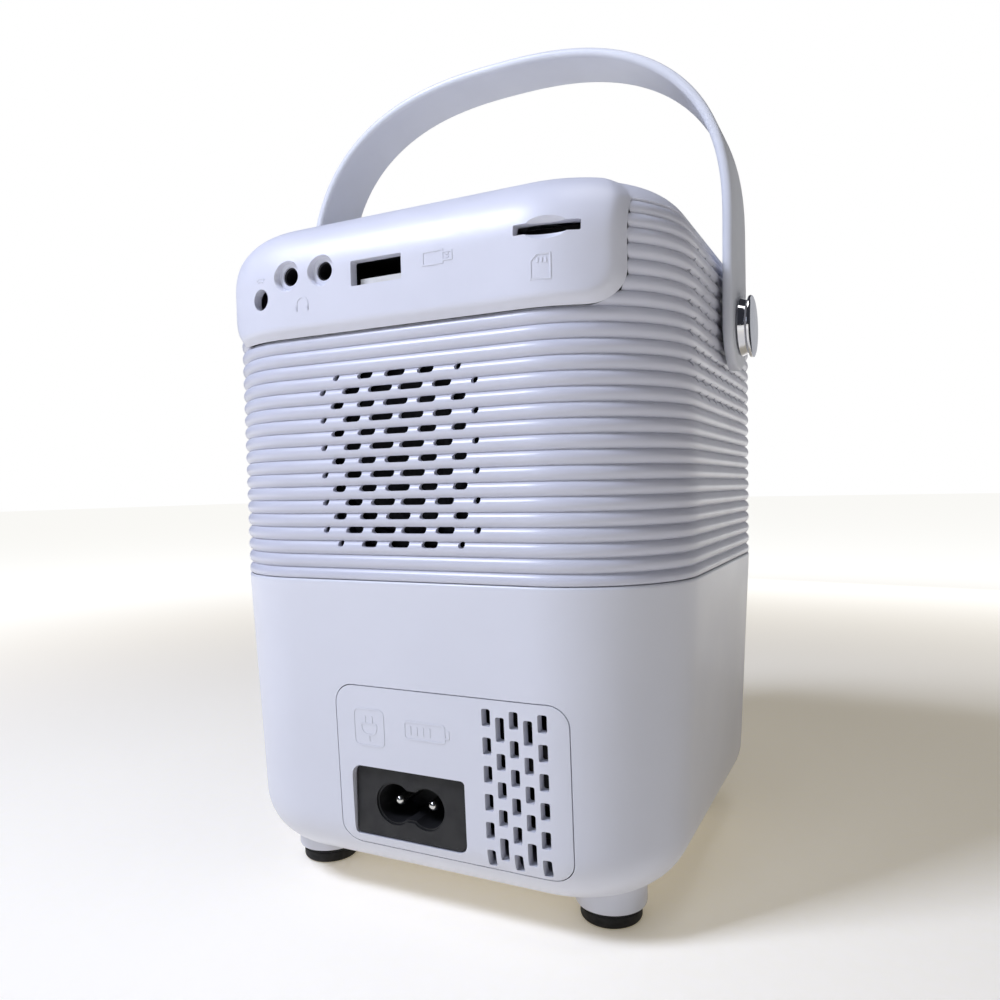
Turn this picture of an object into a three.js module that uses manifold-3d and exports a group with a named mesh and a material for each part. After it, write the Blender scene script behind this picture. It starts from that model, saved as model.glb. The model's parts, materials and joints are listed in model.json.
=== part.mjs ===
// A tower-shaped portable LED projector with a ribbed upper case and a swinging carry handle.
// Millimetres, +Z up. The lens looks along -Y, the sockets and the mains inlet are on the +Y side.
// The origin is on the table, under the middle of the case.
import * as THREE from 'three';
import { ConvexGeometry } from 'three/addons/geometries/ConvexGeometry.js';
import { mergeVertices } from 'three/addons/utils/BufferGeometryUtils.js';
import Module from 'manifold-3d';

const wasm = await Module();
wasm.setup();

// The case as a whole
const caseWidth = 115.4;
const caseDepth = 116.8;
const caseHeight = 156.2;
const cornerRadius = 28;
const cornerSteps = 4;
const wall = 2.2;
const fitGap = 0.3;
const overrun = 6;
const weldDistance = 0.0001;

// The crown of the upper case, where its walls round over into the top
const crownRun = 12;
const crownRise = 14;
const crownSteps = 4;

// The joint between the ribbed upper case and the smooth lower case
const seamHeight = 75.4;
const seamGap = 0.4;

// The ribs round the upper case
const ribPitch = 3.03;
const ribDepth = 0.75;
const lowestGrooveDrop = 2.4;
const grooveCount = 25;

// The lid, and its apron that carries the sockets down the back
const trimProud = 1.6;
const apronMargin = 8.9;
const apronDrop = 26.9;
const apronCorner = 7;
const apronRim = 2.2;
const apronReach = 39;
const apronWidth = caseWidth - 2 * apronMargin;
const apronBottom = caseHeight - apronDrop;

// The lower case
const caseTaper = 0.045;
const baseHeight = 7.3;
const baseFillet = 13;
const filletSteps = 3;
const footInsetX = 19.2;
const footInsetY = 22.9;
const plinthRadius = 8;
const plinthFlare = 1.4;
const plinthRoot = 12;
const padRadius = 7.2;
const padHeight = 3.2;
const padEdge = 0.8;
const footSides = 10;
const footBossRadius = 4;
const footBossHeight = 6;
const joinPostRadius = 4;
const joinPostInset = 13.7;
const joinPostY = 16;
const postSides = 6;

// The service panel low on the back, with the mains inlet and the vents
const panelInset = 20.4;
const panelWidth = 55.9;
const panelHeight = 36.6;
const panelBottom = 15;
const panelCorner = 4.5;
const panelCornerSteps = 2;
const panelLeft = caseWidth / 2 - panelInset;
const panelRight = panelWidth - panelLeft;
const panelTop = panelBottom + panelHeight;
const ventColumns = 5;
const ventPitchX = 3.12;
const ventInset = 11.6;
const ventRise = 17.8;
const ventPitchZ = 5.96;
const ventWidth = 2;
const ventShort = 3.7;
const ventLong = 5.2;
const ventsPerOuterColumn = 6;
const ventsPerInnerColumn = 3;
const ventEndOffset = 12.7;
const ventCentreX = ventInset - panelLeft;
const ventCentreZ = panelBottom + ventRise;

// The mains inlet, with two pins in a figure-of-eight socket
const inletInset = 17.8;
const inletRise = 10.2;
const inletWidth = 28.6;
const inletHeight = 15.9;
const inletRecess = 1;
const inletRound = 2.5;
const inletDepth = 19;
const inletBodyMargin = 1.2;
const inletFlange = 2.4;
const socketWidth = 16.9;
const socketHeight = 8.7;
const socketWaist = 6.4;
const socketDepth = 11;
const socketSteps = 6;
const inletPinSpacing = 8.6;
const inletPinRadius = 1.2;
const inletPinLength = 9;
const inletPinSides = 8;
const inletCentreX = panelRight - inletInset;
const inletCentreZ = panelBottom + inletRise;

// The grilles: rows of holes in the grooves, long in the middle and round at the ends
const grillePitch = 7.6;
const grilleHoleHeight = 1.4;
const backGrilleRows = 13;
const backGrilleFirstGroove = 10;
const backGrilleLongReach = 6;
const backGrilleMidReach = 13;
const backGrilleEndReach = 17;
const backGrilleReach = 19.5;
const backHoleLong = 5.9;
const backHoleMid = 4.2;
const backHoleShort = 3;
const dotWidthShare = 1.4;
const sideGrilleRows = 11;
const sideGrilleFirstGroove = 2;
const sideGrilleReach = 34.5;

// The carry handle, a flat strap bent into an arch over two pivots
const pivotDrop = 23.9;
const strapGap = 1;
const strapThickness = 2.4;
const strapEdge = 0.7;
const strapWidthFoot = 20.4;
const strapWidthTop = 15;
const archHeight = 72.9;
const archStraight = 23;
const archPower = 2.5;
const archSteps = 18;
const lobeSteps = 4;
const pinRadius = 2.5;
const pinHeadRadius = 4;
const pinHeadLength = 1.6;
const pinSides = 8;
const pivotBossRadius = 6.5;
const pivotBossDepth = 5;
const washerRadius = 6.5;
const capRadius = 7.35;
const capDepth = 3.2;
const capDome = 0.9;
const capSides = 14;
const pivotHeight = caseHeight - pivotDrop;

// Sockets in the apron, placed from its side edges and its lower edge
const irInset = 14.3;
const irRise = 9.2;
const irHoleRadius = 2.4;
const avJackInset = 22.2;
const headphoneJackInset = 31.6;
const jackRise = 13.6;
const jackRecessRadius = 3.4;
const jackRecessDepth = 1.6;
const socketSetBack = 0.9;
const jackBoreRadius = 2;
const jackBoreDepth = 12;
const jackNoseRadius = 3;
const jackBodyWidth = 7.4;
const jackBodyDepth = 12;
const usbInset = 46;
const usbRise = 11.6;
const usbWidth = 12.8;
const usbHeight = 5.4;
const usbDepth = 12;
const usbSetBack = 0.8;
const usbBoreDepth = 11;
const usbShellWall = 0.4;
const usbTongueHeight = 1.8;
const usbTongueLift = 0.5;
const usbTongueWidth = 11;
const cardInset = 13.4;
const cardRise = 14.6;
const cardSlotWidth = 12.9;
const cardSlotHeight = 2.2;
const cardSlotDepth = 12;
const cardScallopWidth = 9;
const cardScallopRise = 1.6;
const cardBodyWidth = 15.6;
const cardBodyDepth = 15;
const cardBodyAbove = 1.4;
const boreSides = 10;
const apronEdge = apronWidth / 2;
const irX = apronEdge - irInset;
const irZ = apronBottom + irRise;
const jackXs = { av_jack: apronEdge - avJackInset, headphone_jack: apronEdge - headphoneJackInset };
const jackZ = apronBottom + jackRise;
const usbX = apronEdge - usbInset;
const usbZ = apronBottom + usbRise;
const cardX = cardInset - apronEdge;
const cardZ = apronBottom + cardRise;

// Boards
const boardThickness = 1.6;
const mainBoardRise = 5.1;
const mainBoardMargin = 11.7;
const mainBoardDepth = 24;
const mainBoardSetBack = 10.4;
const boardShelfDepth = 8;
const boardShelfHeight = 4;
const keyBoardWidth = 66;
const keyBoardDepth = 44;
const keyPostRadius = 2;
const powerBoardWidth = 66;
const powerBoardDepth = 42;
const powerBoardY = -9;
const powerBoardLift = 8.7;
const powerPostRadius = 2.5;
const powerPostMargin = 5;
const transformerSize = 22;
const transformerHeight = 17;
const capacitorRadius = 6;
const capacitorLength = 19;
const mainBoardZ = apronBottom + mainBoardRise;
const mainBoardWidth = caseWidth - 2 * mainBoardMargin;
const mainBoardBack = caseDepth / 2 - mainBoardSetBack;
const mainBoardFront = mainBoardBack - mainBoardDepth;
const powerBoardZ = baseHeight + powerBoardLift;

// The rechargeable pack along the front of the lower case
const batteryLength = 66;
const batteryThickness = 18.6;
const batteryRise = 37.4;
const batterySetBack = 8.9;
const batteryLift = 29.4;
const batterySides = 5;
const batteryRibX = 20;
const batteryRibWidth = 6;
const batteryY = batterySetBack + batteryThickness / 2 - caseDepth / 2;
const batteryZ = baseHeight + batteryLift;

// The keypad on the lid
const keypadY = -4;
const keyTravel = 0.6;
const keyStandProud = 0.8;
const keyFlange = 1;
const keyFlangeReach = 0.6;
const keyPostMargin = 4;
const okRadius = 6;
const ringInner = 7.8;
const ringOuter = 15;
const ringGapAngle = 0.16;
const ringArcSteps = 3;
const sideKeyOffset = 27;
const sideKeyRadius = 4.6;
const keySides = 10;

// The lens at the front
const lensDrop = 44.2;
const lensWindowRadius = 29.6;
const bezelFlange = 3.4;
const bezelWall = 2;
const bezelDepth = 8;
const bezelSides = 24;
const ringTeeth = 20;
const ringToothDepth = 0.6;
const ringBore = 20.2;
const ringSetBack = 0.5;
const ringLength = 9;
const barrelWall = 2.6;
const barrelFrontSetBack = 3.2;
const barrelLength = 28;
const barrelLipShare = 0.35;
const lensMountWall = 2.2;
const lensMountClearance = 3.2;
const lensMountFlange = 3;
const lensSides = 16;
const frontLensThickness = 6;
const frontLensEdge = 2;
const frontLensSetBack = 3;
const rearLensThickness = 5;
const rearLensEdge = 2;
const rearLensSetBack = 20;
const lensArcSteps = 3;
const lensZ = caseHeight - lensDrop;

// The light engine: LED, tunnel, panel stack and folding mirror
const engineY = -2;
const engineHalf = 24;
const engineWall = 2;
const mirrorBoxRise = 46;
const mirrorBoxFoot = 8;
const mirrorThickness = 1.8;
const mirrorWidth = 40;
const lcdThickness = 2.4;
const fresnelThickness = 1.6;
const midFrameThickness = 2;
const tunnelFlange = 2;
const tunnelMouthHalf = 21;
const tunnelThroatHalf = 8;
const tunnelDrop = 13;
const tunnelWall = 1.6;
const condenserRadius = 8.5;
const condenserThickness = 5;
const condenserStandOff = 1.2;
const ledBoardHalf = 14;
const ledBoardThickness = 1.6;
const sinkHalf = 22;
const sinkBase = 4;
const sinkHeight = 18;
const sinkFins = 9;
const sinkFinThickness = 1.4;

// The fan behind the vents
const fanSize = 30;
const fanDepth = 10;
const fanShift = -2.2;
const fanLift = 0.2;
const fanSetBack = 15.4;
const fanBoreMargin = 1.2;
const fanHubRadius = 6;
const fanBladeCount = 7;
const fanBladeGap = 0.6;
const fanBladeThickness = 1;
const fanBladeTwist = 0.55;
const fanSpokeWidth = 2;
const fanSpokeDepth = 1.4;
const fanSides = 12;
const fanCradleLip = 1.6;
const fanCradleHeight = 4;
const fanCradleWidth = 22;
const fanX = ventCentreX + fanShift;
const fanZ = ventCentreZ + fanLift;
const fanBack = caseDepth / 2 - fanSetBack;

// The loudspeaker behind the back grille
const speakerRadius = 21;
const speakerRim = 1.6;
const speakerDepth = 15.5;
const magnetRadius = 12;
const magnetDepth = 7;
const coneRim = 17;
const coneThroat = 6;
const coneWall = 1;
const speakerSides = 12;
const coneSetBack = 1.4;

// Small helpers

const halfTurn = Math.PI;
const quarterTurn = halfTurn / 2;
const fullTurn = halfTurn * 2;

function closedSurface(geometry) {
  const plain = geometry.clone();
  plain.deleteAttribute('normal');
  plain.deleteAttribute('uv');
  return mergeVertices(plain, weldDistance);
}

function signedVolume(points, triangles) {
  let sum = 0;
  const a = new THREE.Vector3();
  const b = new THREE.Vector3();
  const c = new THREE.Vector3();
  for (let i = 0; i < triangles.length; i += 3) {
    a.fromArray(points, triangles[i] * 3);
    b.fromArray(points, triangles[i + 1] * 3);
    c.fromArray(points, triangles[i + 2] * 3);
    sum += a.dot(b.cross(c));
  }
  return sum;
}

// Turns a closed three.js geometry into a solid, with its faces pointing out.
function solid(geometry) {
  const surface = closedSurface(geometry);
  const points = surface.attributes.position.array;
  const triangles = [];
  const index = surface.index.array;
  for (let i = 0; i < index.length; i += 3) {
    const [p, q, r] = [index[i], index[i + 1], index[i + 2]];
    if (p !== q && q !== r && r !== p) triangles.push(p, q, r);
  }
  if (signedVolume(points, triangles) < 0) triangles.reverse();
  const vertProperties = new Float32Array(points);
  const triVerts = new Uint32Array(triangles);
  return new wasm.Manifold(new wasm.Mesh({ numProp: 3, vertProperties, triVerts }));
}

function geometryOf(body) {
  const mesh = body.getMesh();
  const geometry = new THREE.BufferGeometry();
  geometry.setAttribute('position', new THREE.BufferAttribute(mesh.vertProperties, mesh.numProp));
  geometry.setIndex(new THREE.BufferAttribute(mesh.triVerts, 1));
  return geometry;
}

function joined(bodies) {
  return bodies.reduce((whole, next) => whole.add(next));
}

function shapeOf(points) {
  return new THREE.Shape(points.map(([x, y]) => new THREE.Vector2(x, y)));
}

// A prism of an XY outline from one height to another.
function standing(points, low, high) {
  const geometry = new THREE.ExtrudeGeometry(shapeOf(points), { depth: high - low, bevelEnabled: false });
  geometry.translate(0, 0, low);
  return solid(geometry);
}

// A prism of an XZ outline between two depths in Y.
function acrossY(points, near, far) {
  const geometry = new THREE.ExtrudeGeometry(shapeOf(points), { depth: far - near, bevelEnabled: false });
  geometry.rotateX(quarterTurn);
  geometry.translate(0, far, 0);
  return solid(geometry);
}

// A prism of a YZ outline between two places in X.
function acrossX(points, low, high) {
  const geometry = new THREE.ExtrudeGeometry(shapeOf(points), { depth: high - low, bevelEnabled: false });
  const turn = new THREE.Matrix4().makeBasis(
    new THREE.Vector3(0, 1, 0), new THREE.Vector3(0, 0, 1), new THREE.Vector3(1, 0, 0));
  geometry.applyMatrix4(turn);
  geometry.translate(low, 0, 0);
  return solid(geometry);
}

function rectangle(left, right, bottom, top) {
  return [[left, bottom], [right, bottom], [right, top], [left, top]];
}

function block(xLow, xHigh, yLow, yHigh, zLow, zHigh) {
  return standing(rectangle(xLow, xHigh, yLow, yHigh), zLow, zHigh);
}

function circle(x, y, radius, sides, firstAngle = 0) {
  const points = [];
  for (let i = 0; i < sides; i++) {
    const angle = firstAngle + (fullTurn * i) / sides;
    points.push([x + radius * Math.cos(angle), y + radius * Math.sin(angle)]);
  }
  return points;
}

// A rectangle with its own radius at each corner, in the order bottom right, top right, top left,
// bottom left.
function roundedRectangle(left, right, bottom, top, radii, steps) {
  const centres = [
    [right, bottom, -1, 1, 3], [right, top, -1, -1, 0], [left, top, 1, -1, 1], [left, bottom, 1, 1, 2],
  ];
  const points = [];
  centres.forEach(([x, y, inX, inY, quarter], corner) => {
    const radius = radii[corner];
    for (let i = 0; i <= steps; i++) {
      const angle = (quarter + i / steps) * quarterTurn;
      points.push([
        x + inX * radius + radius * Math.cos(angle), y + inY * radius + radius * Math.sin(angle)]);
    }
  });
  return points;
}

// A slot with round ends, lying along the first axis.
function slotOutline(x, y, length, height, endSteps) {
  const radius = height / 2;
  const reach = Math.max(length / 2 - radius, 0);
  const points = [];
  for (const side of [1, -1]) {
    for (let i = 0; i <= endSteps; i++) {
      const angle = (i / endSteps - side / 2) * halfTurn;
      points.push([x + side * reach + radius * Math.cos(angle), y + radius * Math.sin(angle)]);
    }
  }
  return reach > 0 ? points : circle(x, y, radius, 2 * endSteps + 2);
}

// A solid turned about the Z axis from a profile of radius and height.
function turned(profile, sides) {
  const points = profile.map(([radius, height]) => new THREE.Vector2(radius, height));
  const geometry = new THREE.LatheGeometry(points, sides);
  geometry.rotateX(quarterTurn);
  return solid(geometry);
}

// The same, turned about a line along Y at a given place, with the profile's height along +Y.
function turnedAlongY(profile, sides, x, z) {
  const points = profile.map(([radius, depth]) => new THREE.Vector2(radius, depth));
  const geometry = new THREE.LatheGeometry(points, sides);
  geometry.translate(x, 0, z);
  return solid(geometry);
}

function tube(outer, inner, low, high) {
  return [[inner, low], [outer, low], [outer, high], [inner, high], [inner, low]];
}

// Joins rings with equal numbers of points into a closed solid, the first ring at the bottom.
function lofted(rings) {
  const count = rings[0].length;
  const positions = rings.flat(2);
  const index = [];
  for (let r = 0; r + 1 < rings.length; r++) {
    for (let i = 0; i < count; i++) {
      const a = r * count + i;
      const b = r * count + ((i + 1) % count);
      index.push(a, b, b + count, a, b + count, a + count);
    }
  }
  const top = (rings.length - 1) * count;
  for (let i = 1; i + 1 < count; i++) {
    index.push(0, i + 1, i);
    index.push(top, top + i, top + i + 1);
  }
  const geometry = new THREE.BufferGeometry();
  geometry.setAttribute('position', new THREE.Float32BufferAttribute(positions, 3));
  geometry.setIndex(index);
  return solid(geometry);
}

// Materials

function material(colour, roughness, metalness) {
  return new THREE.MeshStandardMaterial({ color: colour, roughness, metalness });
}

const whiteShell = material(0xe9eaf2, 0.42, 0);
const whiteStrap = material(0xe2e4ee, 0.48, 0);
const blackPlastic = material(0x17181a, 0.5, 0);
const rubber = material(0x121214, 0.85, 0);
const chrome = material(0xd5d8dc, 0.12, 1);
const steel = material(0xa6a9ad, 0.35, 1);
const plated = material(0xc9ccd0, 0.25, 1);
const greyPlastic = material(0x9a9da5, 0.5, 0);
const board = material(0x1f5a3c, 0.55, 0);
const glass = material(0xbfd2e0, 0.05, 0);
const mirrorGlass = material(0xdfe6ea, 0.03, 1);
const aluminium = material(0xb4b7ba, 0.4, 1);
const paperCone = material(0x2b2b2d, 0.9, 0);
const batteryWrap = material(0x2f5f9e, 0.45, 0);

const projector = new THREE.Group();

function add(name, body, finish, parent = projector) {
  const mesh = new THREE.Mesh(geometryOf(body), finish);
  mesh.name = name;
  parent.add(mesh);
  return mesh;
}

// The case's plan at a height, drawn in from its full width by an inset

function planRing(height, inset) {
  const halfX = caseWidth / 2 - inset;
  const halfY = caseDepth / 2 - inset;
  const radius = Math.max(cornerRadius - inset, wall);
  const radii = [radius, radius, radius, radius];
  const outline = roundedRectangle(-halfX, halfX, -halfY, halfY, radii, cornerSteps);
  return outline.map(([x, y]) => [x, y, height]);
}

function planOutline(inset) {
  return planRing(0, inset).map(([x, y]) => [x, y]);
}

const crownStart = caseHeight - crownRise;

function crownInset(height) {
  const climb = Math.max(height - crownStart, 0) / crownRise;
  return crownRun * (1 - Math.sqrt(Math.max(1 - climb * climb, 0)));
}

// The smooth upper case, moved in from the outside by an inset that may be negative.
function smoothUpper(low, inset, top) {
  const rings = [planRing(low, inset)];
  for (let i = 0; i <= crownSteps; i++) {
    const angle = (quarterTurn * i) / crownSteps;
    const rise = (top - crownStart) * Math.sin(angle);
    rings.push(planRing(crownStart + rise, inset + (crownRun - Math.max(inset, 0)) * (1 - Math.cos(angle))));
  }
  return lofted(rings);
}

const filletTop = baseHeight + baseFillet;

function lowerInset(height) {
  return (seamHeight - height) * caseTaper;
}

function smoothLower(high, inset, floor) {
  const fillet = baseFillet - inset;
  const rings = [];
  for (let i = 0; i <= filletSteps; i++) {
    const angle = (quarterTurn * i) / filletSteps;
    const height = filletTop - (filletTop - floor) * Math.cos(angle);
    rings.push(planRing(height, inset + lowerInset(filletTop) + fillet * (1 - Math.sin(angle))));
  }
  rings.push(planRing(high, inset + lowerInset(high)));
  return lofted(rings);
}

// The back face of the lower case at a height
function lowerBackY(height) {
  return caseDepth / 2 - lowerInset(height);
}

const upperFoot = seamHeight + seamGap / 2;
const lowerRim = seamHeight - seamGap / 2;
const lowestGroove = seamHeight + lowestGrooveDrop;
const innerHalfX = caseWidth / 2 - wall;
const innerHalfY = caseDepth / 2 - wall;
const caseBack = caseDepth / 2;
const caseFront = -caseDepth / 2;
const lidUnderside = caseHeight - wall;

function grooveHeight(fromTop) {
  return lowestGroove + ribPitch * (grooveCount - 1 - fromTop);
}

// The ribbed outside: a groove ring and a crest ring for every rib from the seam to the crown, then
// the smooth rest of the crown.
function ribbedUpper() {
  const rings = [planRing(upperFoot, 0)];
  for (let i = grooveCount - 1; i >= 0; i--) {
    const groove = grooveHeight(i);
    const crest = groove + ribPitch / 2;
    rings.push(planRing(groove, crownInset(groove) + ribDepth));
    rings.push(planRing(crest, crownInset(crest)));
  }
  const lastCrest = grooveHeight(0) + ribPitch / 2;
  for (let i = 1; i <= crownSteps; i++) {
    const height = crownStart + crownRise * Math.sin((quarterTurn * i) / crownSteps);
    if (height > lastCrest) rings.push(planRing(height, crownInset(height)));
  }
  return lofted(rings);
}

// Where the inside of the back wall is, at a place across it and a height
function insideBackY(x, height) {
  const climb = Math.max(height - crownStart, 0) / (crownRise - wall);
  const radius = cornerRadius - wall - (crownRun - wall) * (1 - Math.sqrt(1 - climb * climb));
  const past = Math.max(Math.abs(x) - (caseWidth / 2 - cornerRadius), 0);
  return caseDepth / 2 - cornerRadius + Math.sqrt(radius * radius - past * past);
}

function apronOutline(grow) {
  const half = apronWidth / 2 + grow;
  const radii = [apronCorner + grow, 0, 0, apronCorner + grow];
  return roundedRectangle(-half, half, apronBottom - grow, caseHeight + overrun, radii, panelCornerSteps);
}

function apronPrism(grow) {
  return acrossY(apronOutline(grow), caseBack - apronReach, caseBack + overrun);
}

// Everything above the top groove, where the lid takes over from the ribbed case
function lidBlock(drop) {
  return standing(planOutline(-overrun), grooveHeight(0) - drop, caseHeight + overrun);
}

// The apron with its bevelled rim: the hull of its flush outline and its smaller, proud face
function apronBody() {
  const root = smoothUpper(upperFoot, 0, caseHeight).intersect(apronPrism(0));
  const face = smoothUpper(upperFoot, -trimProud, caseHeight).intersect(apronPrism(-apronRim));
  const points = [];
  for (const body of [root, face]) {
    const corners = body.getMesh().vertProperties;
    for (let i = 0; i < corners.length; i += 3) points.push(new THREE.Vector3().fromArray(corners, i));
  }
  return solid(new ConvexGeometry(points));
}

// The places of a row's holes, out to a reach. Every other row is moved by half a pitch.
function grilleRow(shifted, reach) {
  const places = [];
  for (let x = shifted ? grillePitch / 2 : 0; x <= reach; x += grillePitch) {
    places.push(x);
    if (x > 0) places.push(-x);
  }
  return places;
}

function backHoleLength(x, edgeRow) {
  const reach = Math.abs(x);
  if (reach < backGrilleLongReach) return backHoleLong;
  if (reach < backGrilleMidReach) return backHoleMid;
  if (reach < backGrilleEndReach && !edgeRow) return backHoleShort;
  return grilleHoleHeight;
}

function backGrille() {
  const cuts = [];
  for (let row = 0; row < backGrilleRows; row++) {
    const height = grooveHeight(backGrilleFirstGroove + row);
    const edgeRow = row === 0 || row === backGrilleRows - 1;
    for (const x of grilleRow(row % 2 === 1, backGrilleReach)) {
      const outline = pointedSlot(x, height, backHoleLength(x, edgeRow));
      cuts.push(acrossY(outline, caseBack - wall * 2, caseBack + overrun));
    }
  }
  return joined(cuts);
}

// A hole with a pointed end on each side, and flat top and bottom where it is long.
function pointedSlot(x, z, length) {
  const half = length / 2;
  const rise = grilleHoleHeight / 2;
  const flat = Math.max(half - rise, 0);
  if (flat === 0) return dot(x, z);
  return [[x - half, z], [x - flat, z - rise], [x + flat, z - rise], [x + half, z], [x + flat, z + rise],
    [x - flat, z + rise]];
}

// A small three-sided hole with its top on the line of the groove
function dot(x, z) {
  const half = (grilleHoleHeight * dotWidthShare) / 2;
  return [[x - half, z], [x, z - grilleHoleHeight], [x + half, z]];
}

function sideGrille(side) {
  const cuts = [];
  const low = side > 0 ? caseWidth / 2 - wall * 2 : -caseWidth / 2 - overrun;
  for (let row = 0; row < sideGrilleRows; row++) {
    const height = grooveHeight(sideGrilleFirstGroove + row);
    const edgeRow = row === 0 || row === sideGrilleRows - 1;
    for (const y of grilleRow(row % 2 === 0, sideGrilleReach - (edgeRow ? grillePitch : 0))) {
      if (Math.abs(y) < strapWidthFoot / 2 && height > pivotHeight - strapWidthFoot / 2) continue;
      cuts.push(acrossX(dot(y, height), low, low + wall * 2 + overrun));
    }
  }
  return joined(cuts);
}

// A rod along X, between two places, at the handle's pivot
function pivotRod(radius, low, high, sides) {
  return acrossX(circle(0, pivotHeight, radius, sides), low, high);
}

// The ribbed upper case

function upperHousing() {
  const bossFoot = innerHalfX - pivotBossDepth;
  let shell = ribbedUpper().subtract(smoothUpper(upperFoot - overrun, wall, lidUnderside));
  for (const side of [1, -1]) {
    const ends = [side * bossFoot, side * (innerHalfX + wall / 2)].sort((a, b) => a - b);
    shell = shell.add(pivotRod(pivotBossRadius, ends[0], ends[1], pinSides));
    const shelfX = [side * (mainBoardWidth / 2 - boardShelfHeight), side * (innerHalfX + wall / 2)];
    shelfX.sort((a, b) => a - b);
    const shelfTop = mainBoardZ - fitGap;
    shell = shell.add(block(shelfX[0], shelfX[1], mainBoardFront, mainBoardFront + boardShelfDepth,
      shelfTop - boardShelfHeight, shelfTop));
  }
  shell = shell.subtract(apronPrism(fitGap)).subtract(lidBlock(fitGap));
  shell = shell.subtract(pivotRod(pinRadius + fitGap, -caseWidth, caseWidth, pinSides));
  const lensWindow = circle(0, lensZ, lensWindowRadius + fitGap, bezelSides, halfTurn / bezelSides);
  shell = shell.subtract(acrossY(lensWindow, caseFront - overrun, caseFront + wall * 2));
  shell = shell.subtract(backGrille());
  return shell.subtract(sideGrille(1)).subtract(sideGrille(-1));
}

// The lid with its apron, pierced for the keys and the sockets

function keyPlaces() {
  return {
    ok_key: [0, keypadY],
    power_key: [sideKeyOffset, keypadY],
    menu_key: [-sideKeyOffset, keypadY],
  };
}

function keyOutline(name, grow) {
  const round = keyPlaces()[name];
  if (round) {
    const radius = name === 'ok_key' ? okRadius : sideKeyRadius;
    return circle(round[0], round[1], radius + grow, keySides);
  }
  const quarter = ['right_key', 'up_key', 'left_key', 'down_key'].indexOf(name);
  const middle = quarter * quarterTurn;
  const points = [];
  for (const [radius, direction] of [[ringInner - grow, -1], [ringOuter + grow, 1]]) {
    const half = quarterTurn / 2 - ringGapAngle + Math.atan2(grow, radius);
    for (let i = 0; i <= ringArcSteps; i++) {
      const angle = middle + direction * half * ((2 * i) / ringArcSteps - 1);
      points.push([radius * Math.cos(angle), keypadY + radius * Math.sin(angle)]);
    }
  }
  return points.reverse();
}

const keyNames = ['power_key', 'menu_key', 'ok_key', 'up_key', 'down_key', 'left_key', 'right_key'];
const keyFlangeTop = lidUnderside - fitGap;
const keyBoardTop = keyFlangeTop - keyFlange - keyTravel - fitGap;

function topCover() {
  const cap = smoothUpper(upperFoot, 0, caseHeight).intersect(lidBlock(0));
  let cover = cap.add(apronBody()).subtract(smoothUpper(upperFoot - overrun, wall, lidUnderside));
  for (const x of [-1, 1]) {
    for (const y of [-1, 1]) {
      const postX = x * (keyBoardWidth / 2 - keyPostMargin);
      const postY = keypadY + y * (keyBoardDepth / 2 - keyPostMargin);
      cover = cover.add(standing(circle(postX, postY, keyPostRadius, postSides),
        keyBoardTop + fitGap, lidUnderside + wall / 2));
    }
  }
  for (const name of keyNames) {
    const hole = standing(keyOutline(name, fitGap), lidUnderside - overrun / 2, caseHeight + overrun);
    cover = cover.subtract(hole);
  }
  return cover.subtract(socketCuts());
}

// Openings in the apron for what sits behind it
function socketCuts() {
  const near = mainBoardBack;
  const far = caseBack + overrun;
  const face = caseBack + trimProud;
  const cuts = [acrossY(circle(irX, irZ, irHoleRadius, boreSides), near, far)];
  for (const x of Object.values(jackXs)) {
    cuts.push(acrossY(circle(x, jackZ, jackRecessRadius, boreSides), near, far));
  }
  cuts.push(acrossY(rectangle(usbX - usbWidth / 2, usbX + usbWidth / 2, usbZ - usbHeight / 2,
    usbZ + usbHeight / 2), near, far));
  cuts.push(acrossY(rectangle(cardX - cardSlotWidth / 2, cardX + cardSlotWidth / 2,
    cardZ - cardSlotHeight / 2, cardZ + cardSlotHeight / 2), near, far));
  const scallop = [];
  for (let i = 0; i < boreSides; i++) {
    const angle = (fullTurn * i) / boreSides;
    const rise = cardSlotHeight / 2 + cardScallopRise;
    scallop.push([cardX + (cardScallopWidth / 2) * Math.cos(angle), cardZ + rise * Math.sin(angle)]);
  }
  cuts.push(acrossY(scallop, face - jackRecessDepth, far));
  return joined(cuts);
}

// The lower case: tapered, rounded under, on four short plinths

function footPlaces() {
  const places = {};
  for (const [depthName, y] of [['rear', 1], ['front', -1]]) {
    for (const [sideName, x] of [['left', 1], ['right', -1]]) {
      places[`${depthName}_${sideName}`] = [
        x * (caseWidth / 2 - footInsetX), y * (caseDepth / 2 - footInsetY)];
    }
  }
  return places;
}

const plinthBottom = padHeight + fitGap;
const floorTop = baseHeight + wall;

function lowerHousing() {
  let outside = smoothLower(lowerRim, 0, baseHeight);
  for (const [x, y] of Object.values(footPlaces())) {
    const plinth = turned([[0, plinthBottom], [plinthRadius, plinthBottom],
      [plinthRadius + plinthFlare, baseHeight + plinthFlare], [plinthRadius, plinthRoot], [0, plinthRoot]],
      footSides);
    outside = outside.add(plinth.translate([x, y, 0]));
  }
  let shell = outside.subtract(smoothLower(seamHeight + overrun, wall, floorTop));
  shell = shell.add(lowerFittings().intersect(smoothLower(lowerRim, wall / 2, floorTop - wall / 2)));
  return shell.subtract(acrossY(panelOutline(fitGap), caseBack - wall * 4, caseBack + overrun));
}

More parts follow.
